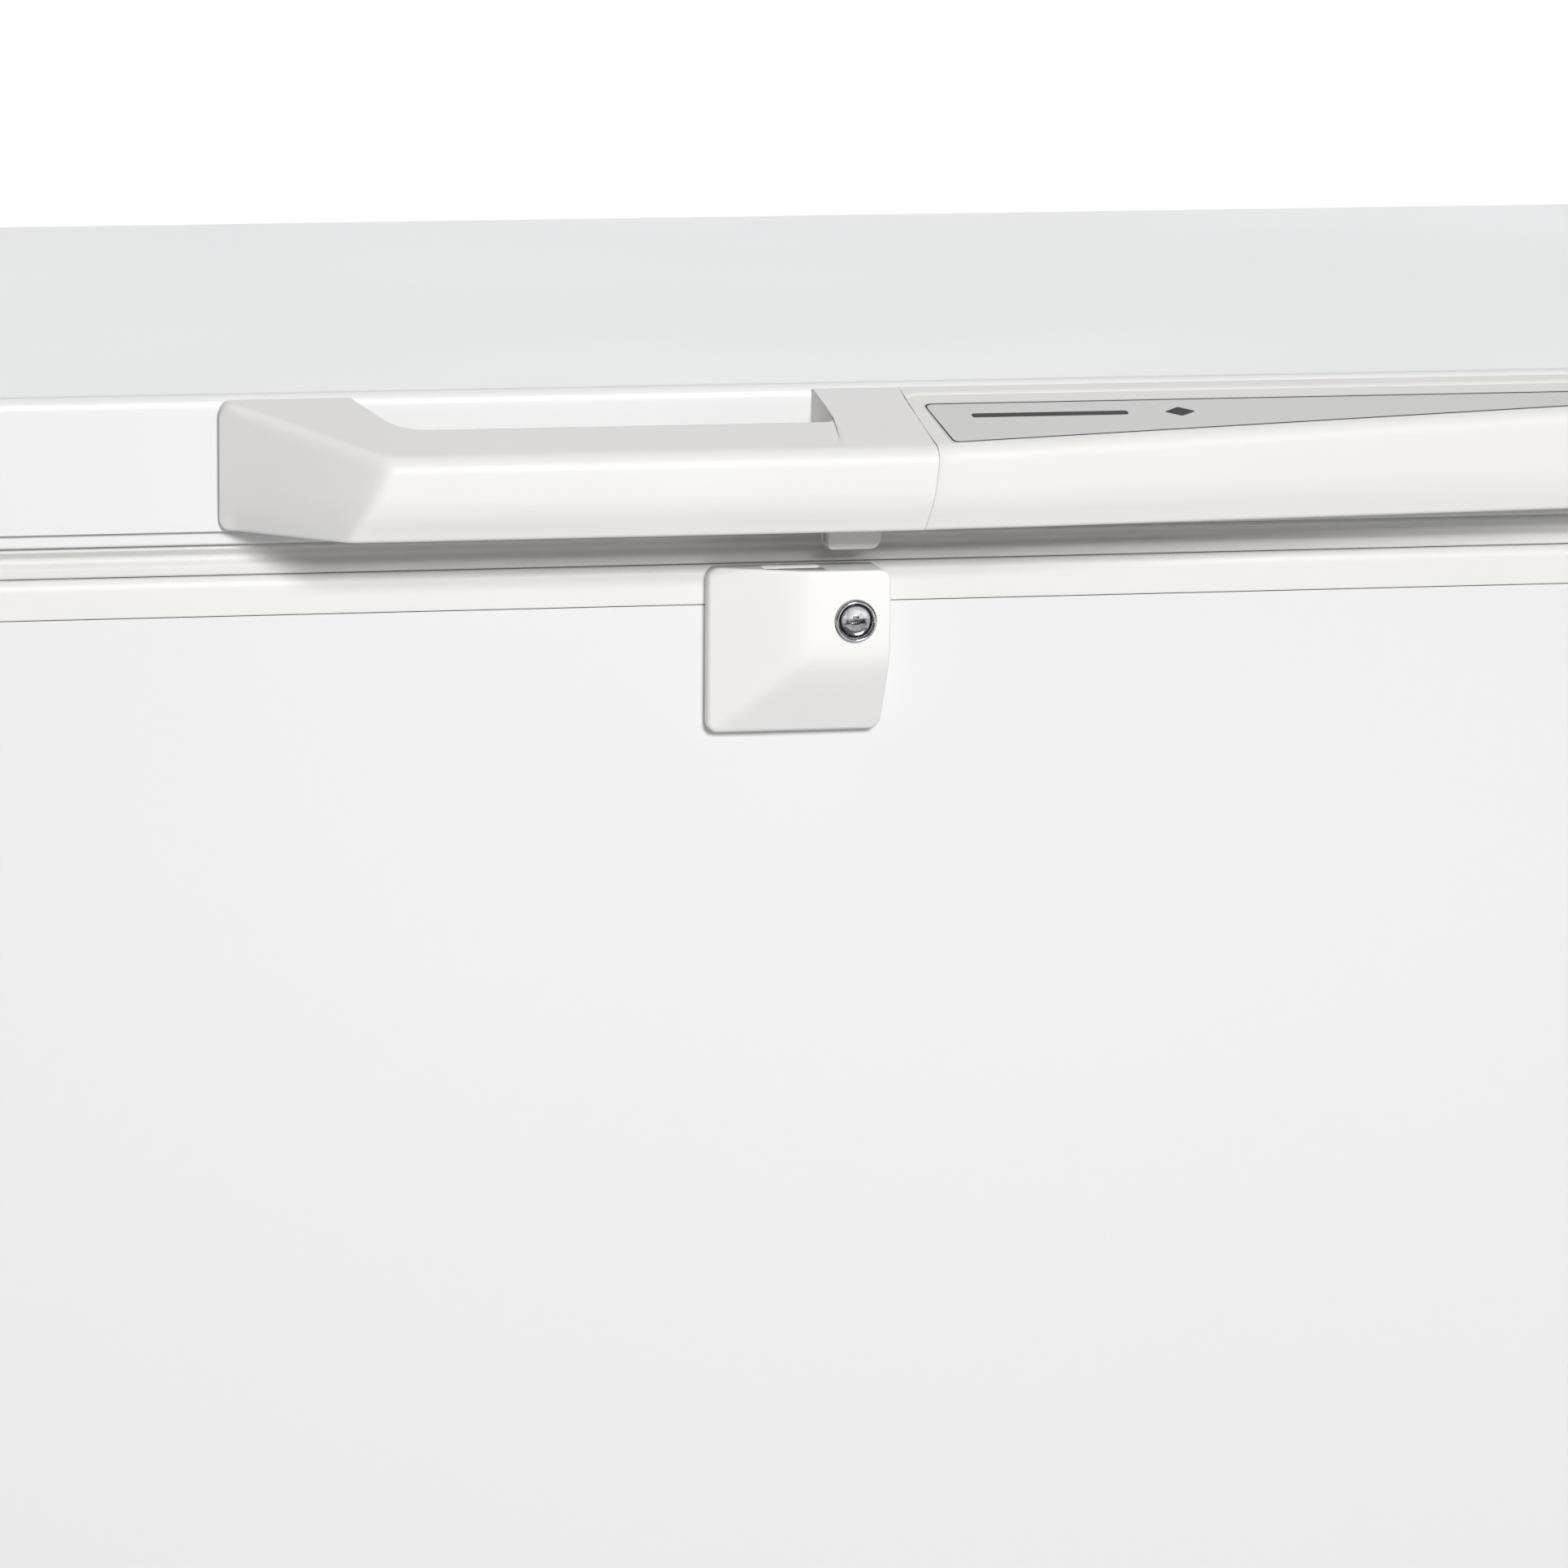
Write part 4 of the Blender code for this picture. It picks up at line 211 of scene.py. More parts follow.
@dataclass(frozen=True)
class Finish:
    """A surface with faint changes of tone, gloss and height.

    Sizes are in metres. tone and shade are the two ends of its colour, patch is the size of a
    patch of tone, pitch the size of one grain, and depth the height of the grain.
    """

    name: str
    slot: str
    tone: Colour
    shade: Colour
    roughness: float
    spread: float = 0.06
    metallic: float = 0.0
    coat: float = 0.0
    relief: Relief = Relief.GRAIN
    patch: float = 0.12
    pitch: float = 0.0006
    depth: float = 0.00001
    transmission: float = 0.0

    def height(self, shader: Shader) -> Signal:
        """The pattern that the bump follows, by the kind of relief."""
        if self.relief is Relief.ROLLED:
            return shader.noise(self.pitch, 2.0, (0.04, 1.0, 1.0))
        if self.relief is Relief.STUCCO:
            return 1.0 - shader.cells(self.pitch)
        if self.relief is Relief.RIBBED:
            where = shader.node("ShaderNodeTexCoord").outputs["Object"]
            along = shader.node("ShaderNodeSeparateXYZ", inputs={0: where}).outputs["X"]
            return shader.math("SINE", Signal(shader, along) * (math.tau / self.pitch))
        detail = 0.0 if self.relief is Relief.PEEL else 3.0
        return shader.noise(self.pitch, detail)

    def material(self) -> bpy.types.Material:
        """Builds the finish.

        Returns:
            The material, whose tone, roughness and normal vary over the surface.
        """
        shader = Shader(self.name)
        clouds = shader.noise(self.patch, 3.0)
        grain = self.height(shader)
        share = shader.math("MULTIPLY_ADD", clouds, 1.6, -0.3)
        share = shader.math("ADD", share * 0.8, grain * 0.2)
        surface = shader.surface
        shader.feed(surface.inputs["Base Color"], shader.blend(share, self.tone, self.shade))
        rough = clouds * (2.0 * self.spread) + (self.roughness - self.spread)
        shader.feed(surface.inputs["Roughness"], rough)
        shader.feed(surface.inputs["Metallic"], self.metallic)
        shader.feed(surface.inputs["Coat Weight"], self.coat)
        shader.feed(surface.inputs["Transmission Weight"], self.transmission)
        shader.feed(surface.inputs["Normal"], shader.bump(grain, self.depth))
        return shader.material


ENAMEL = Finish(
    "white_enamel", "white_enamel", (0.785, 0.787, 0.792), (0.770, 0.773, 0.780), 0.34,
    coat=0.25, relief=Relief.PEEL, patch=0.35, pitch=0.004, depth=0.000012,
)
MOULDED = Finish(
    "white_moulded", "white_plastic", (0.790, 0.784, 0.770), (0.755, 0.748, 0.731), 0.46,
    patch=0.06, pitch=0.0007, depth=0.000012,
)
LOCK_WHITE = Finish(
    "white_lock_cover", "white_plastic", (0.875, 0.870, 0.857), (0.840, 0.833, 0.817), 0.46,
    patch=0.03, pitch=0.0007, depth=0.000012,
)
LINER_WHITE = Finish(
    "white_liner", "white_plastic", (0.790, 0.792, 0.792), (0.765, 0.768, 0.770), 0.40,
    patch=0.25, pitch=0.0012, depth=0.000008,
)
SEAL = Finish(
    "white_seal", "white_seal", (0.740, 0.735, 0.722), (0.690, 0.685, 0.670), 0.62,
    patch=0.05, pitch=0.0009, depth=0.000015,
)
BADGE = Finish(
    "badge_satin", "badge_grey", (0.670, 0.668, 0.660), (0.635, 0.633, 0.626), 0.38,
    patch=0.08, pitch=0.0005, depth=0.000006,
)
INK = Finish(
    "dark_print", "badge_grey", (0.030, 0.030, 0.032), (0.050, 0.050, 0.053), 0.50,
    patch=0.02, pitch=0.0004, depth=0.000004,
)
# Painted reflection: the dark end of this chrome's colour and its small patches of light and dark
# stand in for the dark surroundings and bright spots that chrome reflects; only the light end is
# the metal's own colour.
CHROME_PAINTED_REFLECTIONS = Finish(
    "chrome", "lock_chrome", (0.52, 0.52, 0.54), (0.10, 0.10, 0.11), 0.12, spread=0.05,
    metallic=1.0, patch=0.003, pitch=0.0005, depth=0.000010,
)
STUCCO = Finish(
    "pressed_aluminium", "tub_aluminium", (0.76, 0.77, 0.78), (0.66, 0.67, 0.69), 0.32,
    metallic=1.0, relief=Relief.STUCCO, patch=0.20, pitch=0.006, depth=0.00035,
)
ZINC = Finish(
    "zinc_plate", "zinc_steel", (0.60, 0.61, 0.62), (0.47, 0.48, 0.50), 0.38, metallic=1.0,
    relief=Relief.ROLLED, patch=0.02, pitch=0.0012, depth=0.000010,
)
COPPER = Finish(
    "drawn_copper", "copper_tube", (0.72, 0.38, 0.24), (0.50, 0.24, 0.15), 0.32, metallic=1.0,
    relief=Relief.ROLLED, patch=0.03, pitch=0.001, depth=0.000008,
)
BLACK_ENAMEL = Finish(
    "black_enamel", "black_enamel", (0.022, 0.022, 0.023), (0.035, 0.035, 0.036), 0.34,
    coat=0.3, relief=Relief.PEEL, patch=0.08, pitch=0.003, depth=0.000020,
)
BLACK_MOULDED = Finish(
    "black_moulded", "black_plastic", (0.030, 0.030, 0.031), (0.050, 0.050, 0.051), 0.52,
    patch=0.03, pitch=0.0007, depth=0.000020,
)
RUBBER = Finish(
    "black_rubber", "black_rubber", (0.035, 0.035, 0.035), (0.060, 0.060, 0.059), 0.78,
    patch=0.02, pitch=0.0010, depth=0.000030,
)
GREY_MOULDED = Finish(
    "grey_moulded", "grey_plastic", (0.300, 0.305, 0.315), (0.250, 0.255, 0.265), 0.48,
    patch=0.03, pitch=0.0007, depth=0.000015,
)
WIRE_COAT = Finish(
    "white_wire_coat", "basket_wire", (0.790, 0.792, 0.790), (0.730, 0.734, 0.735), 0.36,
    coat=0.3, relief=Relief.PEEL, patch=0.05, pitch=0.003, depth=0.000030,
)
LENS = Finish(
    "ribbed_lens", "clear_plastic", (0.86, 0.88, 0.89), (0.80, 0.83, 0.85), 0.24,
    relief=Relief.RIBBED, patch=0.05, pitch=0.004, depth=0.00025, transmission=0.55,
)
FOAM = Finish(
    "cream_foam", "foam_cream", (0.78, 0.68, 0.45), (0.66, 0.55, 0.34), 0.90,
    patch=0.05, pitch=0.002, depth=0.0003,
)


@functools.cache
def material_of(finish: Finish) -> bpy.types.Material:
    """The one material of a finish."""
    return finish.material()


# --- surfaces


def softened(corners: np.ndarray, setbacks: object, steps: int = 6) -> np.ndarray:
    """Rounds the corners of one closed outline, or of many at once.

    Each corner is replaced by the quadratic curve that starts a setback before it, ends a setback
    after it and pulls towards it: (1-u)^2 start + 2u(1-u) corner + u^2 end. One more point on the
    straight at each end of the curve keeps the flats flat.

    Args:
        corners: points, shaped (..., corners, axes).
        setbacks: one distance, or one for each corner.
        steps: pieces of each curve.

    Returns:
        The points, shaped (..., corners * (steps + 3), axes).
    """
    setback = np.broadcast_to(np.asarray(setbacks, float), corners.shape[:-1])
    ends = []
    for turn in (1, -1):
        away = np.roll(corners, turn, axis=-2) - corners
        length = np.linalg.norm(away, axis=-1, keepdims=True)
        ends.append((away / np.maximum(length, TINY), length[..., 0]))
    reach = np.minimum(setback, 0.45 * np.minimum(ends[0][1], ends[1][1]))[..., None]
    start, end = (corners + direction * reach for direction, _ in ends)
    before, after = (
        corners + direction * np.where(reach > 0.0, reach + SPARE * length[..., None], 0.0)
        for direction, length in ends
    )
    u = np.linspace(0.0, 1.0, steps + 1)[:, None]
    tip = corners[..., None, :]
    curve = (1 - u) ** 2 * start[..., None, :] + 2 * u * (1 - u) * tip + u**2 * end[..., None, :]
    curve = np.concatenate([before[..., None, :], curve, after[..., None, :]], axis=-2)
    return curve.reshape(*corners.shape[:-2], -1, corners.shape[-1])


def bent(corners: np.ndarray, setback: float, steps: int = 6) -> np.ndarray:
    """An open path of four corners, with the inner two rounded and its ends left as they are."""
    spare = steps + 2
    return softened(corners, [0.0, setback, setback, 0.0], steps)[spare:-spare]


def rounded_rectangle(plan: Plan, radius: float, steps: int = 10) -> np.ndarray:
    """A rectangle x0, x1, y0, y1 whose corners are arcs: centre + radius (cos a, sin a)."""
    x0, x1, y0, y1 = plan
    centres = np.array([
        (x1 - radius, y0 + radius), (x1 - radius, y1 - radius),
        (x0 + radius, y1 - radius), (x0 + radius, y0 + radius),
    ])
    starts = np.radians([-90.0, 0.0, 90.0, 180.0])
    angle = starts[:, None] + np.linspace(0.0, math.pi / 2, steps + 1)
    arcs = centres[:, None, :] + radius * np.stack([np.cos(angle), np.sin(angle)], -1)
    return arcs.reshape(-1, 2)


def carried(plan: Plan, radius: float, profile: np.ndarray, steps: int = 10) -> np.ndarray:
    """A profile carried round a rounded rectangle.

    Each profile point (inset, z) becomes the rounded rectangle that lies inset inside the plan,
    with a corner radius less by the inset, at the height z.

    Args:
        plan: the limits x0, x1, y0, y1 of the rectangle.
        radius: its corner radius.
        profile: points (inset, z).
        steps: pieces of each corner.

    Returns:
        A grid of points, shaped (profile points, points around, 3).
    """
    rings = []
    for inset, z in profile:
        inner = (plan[0] + inset, plan[1] - inset, plan[2] + inset, plan[3] - inset)
        ring = rounded_rectangle(inner, max(radius - inset, TIGHT), steps)
        rings.append(np.column_stack([ring, np.full(len(ring), z)]))
    return np.array(rings)


def turned(
    profile: np.ndarray, centre: Sequence[float], axis: Sequence[float], around: int = 64
) -> np.ndarray:
    """A profile turned about an axis: centre + along axis + radius (cos a side + sin a other).

    Args:
        profile: points (radius, along).
        centre: a point on the axis.
        axis: the axis's direction, of length 1.
        around: points in each ring.

    Returns:
        A grid of points, shaped (profile points, around, 3).
    """
    along = np.array(axis, float)
    side = np.cross(along, (0.0, 0.0, 1.0) if abs(along[2]) < 0.9 else (1.0, 0.0, 0.0))
    side /= np.linalg.norm(side)
    other = np.cross(along, side)
    angle = np.linspace(0.0, math.tau, around, endpoint=False)[None, :, None]
    radius = profile[:, 0][:, None, None]
    rise = profile[:, 1][:, None, None]
    return np.array(centre) + rise * along + radius * (np.cos(angle) * side + np.sin(angle) * other)


def tube(path: np.ndarray, radius: float, reference: Sequence[float], sides: int = 8) -> np.ndarray:
    """A round wire along a path: at each point a ring in the plane square to the path.

    Args:
        path: points, shaped (points, 3).
        radius: the wire's radius.
        reference: a direction that the path never runs along.
        sides: points in each ring.

    Returns:
        A grid of points, shaped (points, sides, 3).
    """
    ahead = np.gradient(path, axis=0)
    ahead /= np.linalg.norm(ahead, axis=1, keepdims=True)
    side = np.cross(ahead, np.array(reference, float))
    side /= np.linalg.norm(side, axis=1, keepdims=True)
    other = np.cross(ahead, side)
    angle = np.linspace(0.0, math.tau, sides, endpoint=False)[None, :, None]
    ring = np.cos(angle) * side[:, None] + np.sin(angle) * other[:, None]
    return path[:, None] + radius * ring


class Skin:
    """The points and faces of one piece, gathered grid by grid."""

    def __init__(self) -> None:
        """Starts with nothing."""
        self.points: list[np.ndarray] = []
        self.faces: list[list[int]] = []
        self.count = 0

    def grid(
        self, net: np.ndarray, round_rows: bool = False, round_columns: bool = False,
        kept: Optional[np.ndarray] = None,
    ) -> "Skin":
        """Adds a grid of points with a quad between each four neighbours.

        Args:
            net: points, shaped (rows, columns, 3).
            round_rows: joins the last row to the first.
            round_columns: joins the last column to the first.
            kept: which quads are kept, shaped as the quads are.

        Returns:
            This skin.
        """
        rows, columns = net.shape[:2]
        i, j = np.meshgrid(
            np.arange(rows if round_rows else rows - 1),
            np.arange(columns if round_columns else columns - 1),
            indexing="ij",
        )
        down, across = (i + 1) % rows, (j + 1) % columns
        quads = np.stack(
            [i * columns + j, i * columns + across, down * columns + across, down * columns + j], -1
        )
        quads = quads[kept] if kept is not None else quads.reshape(-1, 4)
        self.points.append(net.reshape(-1, 3))
        self.faces.extend((quads + self.count).tolist())
        self.count += rows * columns
        return self

    def fan(self, ring: np.ndarray) -> "Skin":
        """Closes a ring with triangles to its middle, and returns this skin."""
        start = self.count
        self.points.append(np.vstack([ring, ring.mean(axis=0)]))
        index = np.arange(len(ring))
        middle = np.full(len(ring), len(ring))
        triangles = np.stack([index, (index + 1) % len(ring), middle], -1)
        self.faces.extend((triangles + start).tolist())
        self.count += len(ring) + 1
        return self

    def closed(self, net: np.ndarray) -> "Skin":
        """Adds a grid that is round across, closes both its end rings, and returns this skin."""
        return self.grid(net, round_columns=True).fan(net[0]).fan(net[-1])

    def mesh(self, name: str) -> bpy.types.Mesh:
        """The mesh, with doubles merged and faces pointing out."""
        made = bpy.data.meshes.new(name)
        made.from_pydata(np.vstack(self.points).tolist(), [], self.faces)
        form = bmesh.new()
        form.from_mesh(made)
        bmesh.ops.remove_doubles(form, verts=form.verts, dist=MERGE)
        bmesh.ops.dissolve_degenerate(form, edges=form.edges, dist=MERGE / 2)
        bmesh.ops.recalc_face_normals(form, faces=form.faces)
        form.to_mesh(made)
        form.free()
        return made


def smooth(mesh: bpy.types.Mesh) -> None:
    """Shades a mesh smooth, but for its sharp edges."""
    mesh.shade_smooth()
    mesh.set_sharp_from_angle(angle=SMOOTH_BELOW)


def placed(name: str, data: bpy.types.ID) -> bpy.types.Object:
    """A new object in the scene, at the origin."""
    made = bpy.data.objects.new(name, data)
    bpy.context.scene.collection.objects.link(made)
    return made


def piece(
    name: str, mesh: bpy.types.Mesh, finish: Finish, body: str, replaces: Sequence[str] = ()
) -> bpy.types.Object:
    """Makes a piece of the freezer.

    Args:
        name: its name.
        mesh: its mesh, in place.
        finish: what it is finished in.
        body: the body that it moves with.
        replaces: the solids that it stands for.

    Returns:
        The object.
    """
    smooth(mesh)
    made = placed(name, mesh)
    mesh.materials.append(material_of(finish))
    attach(made, body)
    if replaces:
        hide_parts(*replaces)
    LOG.info("%s rides on %s, %d faces", name, body, len(mesh.polygons))
    return made


def walled(made: bpy.types.Object, wall: float) -> bpy.types.Object:
    """Gives a sheet its thickness, inwards, with Solidify, and returns it."""
    solid = made.modifiers.new("wall", "SOLIDIFY")
    solid.thickness = wall
    solid.offset = -1.0
    return made


def eased(made: bpy.types.Object, width: float, over: float = 50.0) -> bpy.types.Object:
    """Rounds the edges of a piece that turn by more than some degrees, and returns it."""
    bevel = made.modifiers.new("edges", "BEVEL")
    bevel.width = width
    bevel.segments = 2
    bevel.limit_method = "ANGLE"
    bevel.angle_limit = math.radians(over)
    bevel.harden_normals = True
    return made


def body_of(node: str) -> str:
    """The body that a solid moves with."""
    return frame["nodes"][node]["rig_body"]


def refined(node: str, finish: Finish, edge: float = 0.0004) -> bpy.types.Object:
    """A merged copy of a solid, shaded smooth and with its sharp edges eased.

    Args:
        node: the solid that the copy stands for.
        finish: what it is finished in.
        edge: the width of the eased edges, or 0 to leave them.

    Returns:
        The new piece.
    """
    mesh = frame["nodes"][node].data.copy()
    mesh.materials.clear()
    form = bmesh.new()
    form.from_mesh(mesh)
    bmesh.ops.remove_doubles(form, verts=form.verts, dist=MERGE)
    bmesh.ops.dissolve_limit(
        form, angle_limit=math.radians(0.3), verts=form.verts, edges=form.edges
    )
    form.to_mesh(mesh)
    form.free()
    made = piece(f"{node}_finished", mesh, finish, body_of(node), [node])
    return eased(made, edge) if edge else made


def stand_in(skin: Skin, name: str, finish: Finish, node: str) -> bpy.types.Object:
    """A piece that stands for one solid and moves with its body, as piece makes it."""
    return piece(name, skin.mesh(node), finish, body_of(node), [node])


def dressed(nodes: Sequence[str], finish: Finish) -> None:
    """Gives solids that stay as they are a finish of their own."""
    for node in nodes:
        solid = frame["nodes"][node]
        solid.data.materials.clear()
        solid.data.materials.append(material_of(finish))
        LOG.info("%s keeps its solid, in %s", node, finish.name)


def limits(node: str) -> tuple[Vector, Vector]:
    """The lowest and highest corners of a solid."""
    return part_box(node)


def smooth_least(a: np.ndarray, b: object, softness: float) -> np.ndarray:
    """The lesser of two values, rounded where they meet: (a + b - sqrt((a - b)^2 + s^2)) / 2."""
    return 0.5 * (a + b - np.sqrt((a - b) ** 2 + softness**2))


# --- lid


@dataclass
class Lid:
    """The lid's skin, liner, seal and lamp. Sizes are in metres."""

    edge: float = 0.0035
    corner: float = 0.012
    sheet: float = 0.001
    band_inset: float = 0.003
    seal_inset: float = 0.006
    seal_width: float = 0.016
    seal_waist: float = 0.0026
    liner_sheet: float = 0.0015
    liner_tuck: float = 0.008
    margin: float = 0.081
    fall: float = 1.2
    plan: Plan = field(init=False)
    top: float = field(init=False)
    skirt: float = field(init=False)
    band: float = field(init=False)

    def __post_init__(self) -> None:
        """Reads the lid's place from the solids."""
        low, high = limits("lid_skin")
        self.plan = (low.x, high.x, low.y, high.y)
        self.top = high.z
        self.skirt = low.z
        self.band = limits("lid_gasket")[1].z + CLEAR

    def skin(self) -> None:
        """The enamelled top: an edge that rolls over into the skirt, with the sheet's hem below."""
        corners = np.array([
            (INWARDS, self.top), (0.0, self.top), (0.0, self.skirt), (self.sheet, self.skirt),
            (self.sheet, self.top - self.sheet), (INWARDS, self.top - self.sheet),
        ])
        setbacks = [0.0, 1.6 * self.edge, 0.0004, 0.0004, self.edge, 0.0]
        net = carried(self.plan, self.corner, softened(corners, setbacks, 10), 14)
        stand_in(Skin().closed(net), "lid_skin_enamelled", ENAMEL, "lid_skin")

    def liner(self) -> None:
        """The moulded liner: its edge band, the flat margin, and the middle that hangs lower."""
        low = limits("lid_liner")[0].z
        hang = self.band - low
        sheet, margin, outer = self.liner_sheet, self.margin, self.band_inset
        tucked, inner = self.skirt + self.liner_tuck, self.band + self.liner_sheet
        corners = np.array([
            (INWARDS, low), (margin + self.fall * hang, low), (margin, self.band),
            (outer, self.band), (outer, tucked), (outer + sheet, tucked), (outer + sheet, inner),
            (margin + sheet, inner), (margin + self.fall * hang + sheet, low + sheet),
            (INWARDS, low + sheet),
        ])
        setbacks = [0.0, 0.004, 0.004, 0.0012, 0.0003, 0.0003, 0.0006, 0.003, 0.003, 0.0]
        net = carried(self.plan, self.corner, softened(corners, setbacks), 14)
        stand_in(Skin().closed(net), "lid_liner_moulded", LINER_WHITE, "lid_liner")

    def seal(self) -> None:
        """The magnetic seal: a soft tube with a waist, and two small lips on its outer side."""
        low = limits("lid_gasket")[0].z
        top = self.band - CLEAR
        tall = top - low
        out, back = self.seal_inset, self.seal_inset + self.seal_width
        corners = np.array([
            (out + 0.001, top), (out, top - 0.12 * tall),
            (out + self.seal_waist, top - 0.36 * tall), (out + self.seal_waist, top - 0.50 * tall),
            (out, top - 0.66 * tall), (out, low),
            (back, low), (back, top - 0.66 * tall), (back - self.seal_waist, top - 0.5 * tall),
            (back, top),
        ])
        net = carried(self.plan, self.corner, softened(corners, 0.0011, 4), 14)
        skin = Skin().grid(net, round_rows=True, round_columns=True)
        stand_in(skin, "lid_seal", SEAL, "lid_gasket")

    def build(self) -> None:
        """Makes the lid's pieces."""
        self.skin()
        self.liner()
        self.seal()
        refined("lamp_housing", LINER_WHITE)
        refined("lamp_lens", LENS, 0.0)
        dressed(["lid_foam"], FOAM)


# --- handle

BAR = ((0.062, 0.0230), (0.122, 0.0230), (0.122, 0.0260), (0.062, 0.0260))
LOZENGE = ((0.136, 0.0245), (0.142, 0.021), (0.148, 0.0245), (0.142, 0.028))


@dataclass
class Handle:
    """The long moulded handle: grip, finger gap, tapering tail, its cover and inlaid strip.

    A place on it is given by x, by its reach in front of the lid, and by its height. The top face
    starts sink below the lid's top and falls by slope for each metre of reach.
    """

    lid: Lid
    sink: float = 0.0015
    slope: float = 0.365
    full: float = 0.050
    tall: float = 0.050
    tuck: float = 0.003
    bulge: float = 0.001
    tip: float = 0.003
    left: float = -0.2168
    grip: float = -0.162
    grip_lean: float = 0.0147
    lean_end: float = -0.100
    tail: float = 0.043
    tail_end: float = 0.443
    tail_tip: float = 0.461
    tail_reach: float = 0.0186
    gap_left: tuple[float, float] = (-0.168, -0.154)
    gap_right: tuple[float, float] = (0.0065, 0.0105)
    gap_depth: float = 0.026
    gap_depth_low: float = 0.030
    gap_corners: tuple[float, float] = (0.011, 0.0052)
    front_marks: tuple[float, ...] = (-0.166, -0.136, 0.004, 0.016, 0.0385)
    seam: float = 0.038
    seam_lean: float = 0.0057
    seam_low: float = -0.0045
    seam_gap: float = 0.0004
    cover_rear: float = 0.0075
    cover_end: float = 0.452
    cover_corner: float = 0.006
    front_edge: float = 0.0046
    rear_edge: float = 0.0014
    end_corner: float = 0.0045
    steps: int = 8
    strip_left: float = 0.0449
    strip_left_front: float = 0.0497
    strip_right: float = 0.410
    strip_rear: float = 0.0142
    strip_front: float = 0.0454
    strip_end: float = 0.0182

    def top_at(self, reach: np.ndarray) -> np.ndarray:
        """The height of the sloping top face."""
        return self.lid.top - self.sink - self.slope * reach

    def reach_at(self, x: np.ndarray) -> np.ndarray:
        """The reach along the front: the ramp, the grip and the tail, rounded where they meet."""
        ramp = self.tip + (x - self.left) / (self.grip - self.left) * (self.full - self.tip)
        fall = (self.tail_reach - self.full) / (self.tail_end - self.tail)
        taper = self.full + fall * (x - self.tail)
        reach = smooth_least(smooth_least(ramp, self.full, 0.0022), taper, 0.0006)
        share = np.clip((x - self.tail_end) / (self.tail_tip - self.tail_end), 0.0, 1.0)
        return self.tip + (reach - self.tip) * (1.0 - share**2)

    def lean_at(self, x: np.ndarray) -> np.ndarray:
        """How far left the foot of the face lies: full at the ramp, none past the lean's end."""
        return np.interp(x, [self.left, self.grip, self.lean_end], [0.0, self.grip_lean, 0.0])

    def shoulder(self, x: np.ndarray) -> np.ndarray:
        """How far the outline drops at the two ends: radius - sqrt(radius^2 - (radius - d)^2)."""
        inside = np.minimum(x - self.left, self.tail_tip - x)
        short = np.clip(self.end_corner - inside, 0.0, self.end_corner)
        return self.end_corner - np.sqrt(self.end_corner**2 - short**2)

    def rear_route(self) -> tuple[np.ndarray, np.ndarray]:
        """The rear edge from above, along the lid and round the finger gap.

        Returns:
            Points (x, depth as a share of the gap's depth), and the x in front of each of them.
        """
        deep = self.gap_depth
        corners = np.array([
            (self.gap_left[0], 0.0), (self.gap_left[1], deep), (self.gap_right[1], deep),
            (self.gap_right[0], 0.0),
        ])
        steps = 14
        curve = softened(corners, [0.0, *self.gap_corners, 0.0], steps).reshape(4, steps + 3, 2)
        start, first, last, finish = curve[0, 0], curve[1, 1:-1], curve[2, 1:-1], curve[3, -1]
        wall = np.linspace(start, first[0], 10)[:-1]
        straight = np.linspace(first[-1], last[0], 40)[1:-1]
        out = np.linspace(last[-1], finish, 10)[1:]
        before = np.column_stack([np.linspace(self.left, start[0], 40)[:-1], np.zeros(39)])
        after = np.column_stack([np.linspace(finish[0], 0.036, 12)[1:], np.zeros(11)])
        parts = [before, wall, first, straight, last, out, after]
        ends = np.cumsum([len(part) for part in parts])
        rear = np.vstack(parts)
        step = np.linalg.norm(np.diff(rear, axis=0), axis=1)
        run = np.concatenate([[0.0], np.cumsum(step)])
        marks = run[[0, ends[0], ends[2] - 1, ends[3], ends[5] - 1, ends[6] - 1]]
        front = np.interp(run, marks, [self.left, *self.front_marks])
        rear[:, 1] /= deep
        return rear, front

    def sections(
        self, rear: np.ndarray, rear_low: np.ndarray, front: np.ndarray, x: np.ndarray
    ) -> tuple[np.ndarray, np.ndarray]:
        """Rounded sections through the handle.

        The corners are rear top, front top, the turn low on the face, front foot and rear foot.

        Args:
            rear: each section's reach at the rear of its top.
            rear_low: the same at the foot.
            front: each section's reach at the front.
            x: where each section stands, for the drop at the handle's ends.

        Returns:
            The reach and the height of the points of each section, shaped (sections, points).
        """
        drop = self.shoulder(x)
        low = np.full_like(front, self.lid.top - self.tall) + 0.7 * drop
        tuck = np.minimum(self.tuck, front / 3)
        heights = [self.top_at(rear) - drop, self.top_at(front) - drop, low + 0.010, low, low]
        reaches = [rear, front, front, front - tuck, rear_low]
        corners = np.stack([np.stack(reaches, 1), np.stack(heights, 1)], -1)
        thick = np.maximum(front - rear, 0.002)
        setbacks = np.stack([
            np.minimum(self.rear_edge, 0.3 * thick), np.minimum(self.front_edge, 0.4 * thick),
            np.full_like(front, 0.009), np.minimum(0.0014, 0.2 * thick),
            np.minimum(self.rear_edge, 0.3 * thick),
        ], 1)
        points = softened(corners, setbacks, self.steps)
        reach, height = points[..., 0], points[..., 1]
        fallen = np.clip((self.top_at(front)[:, None] - height) / (self.tall * 0.56), 0.0, 1.0)
        near = np.clip((reach - 0.8 * front[:, None]) / (0.2 * front[:, None]), 0.0, 1.0)
        swell = self.bulge * np.sin(math.pi * fallen) * near * front[:, None] / self.full
        return reach + swell, height

    def fall_share(self, reach: np.ndarray, height: np.ndarray) -> np.ndarray:
        """How far down the face a point lies, 0 at the top face and 1 at the foot."""
        top = self.top_at(reach)
        low = self.lid.top - self.tall
        return np.clip((top - height) / np.maximum(top - low, TINY), 0.0, 1.0)

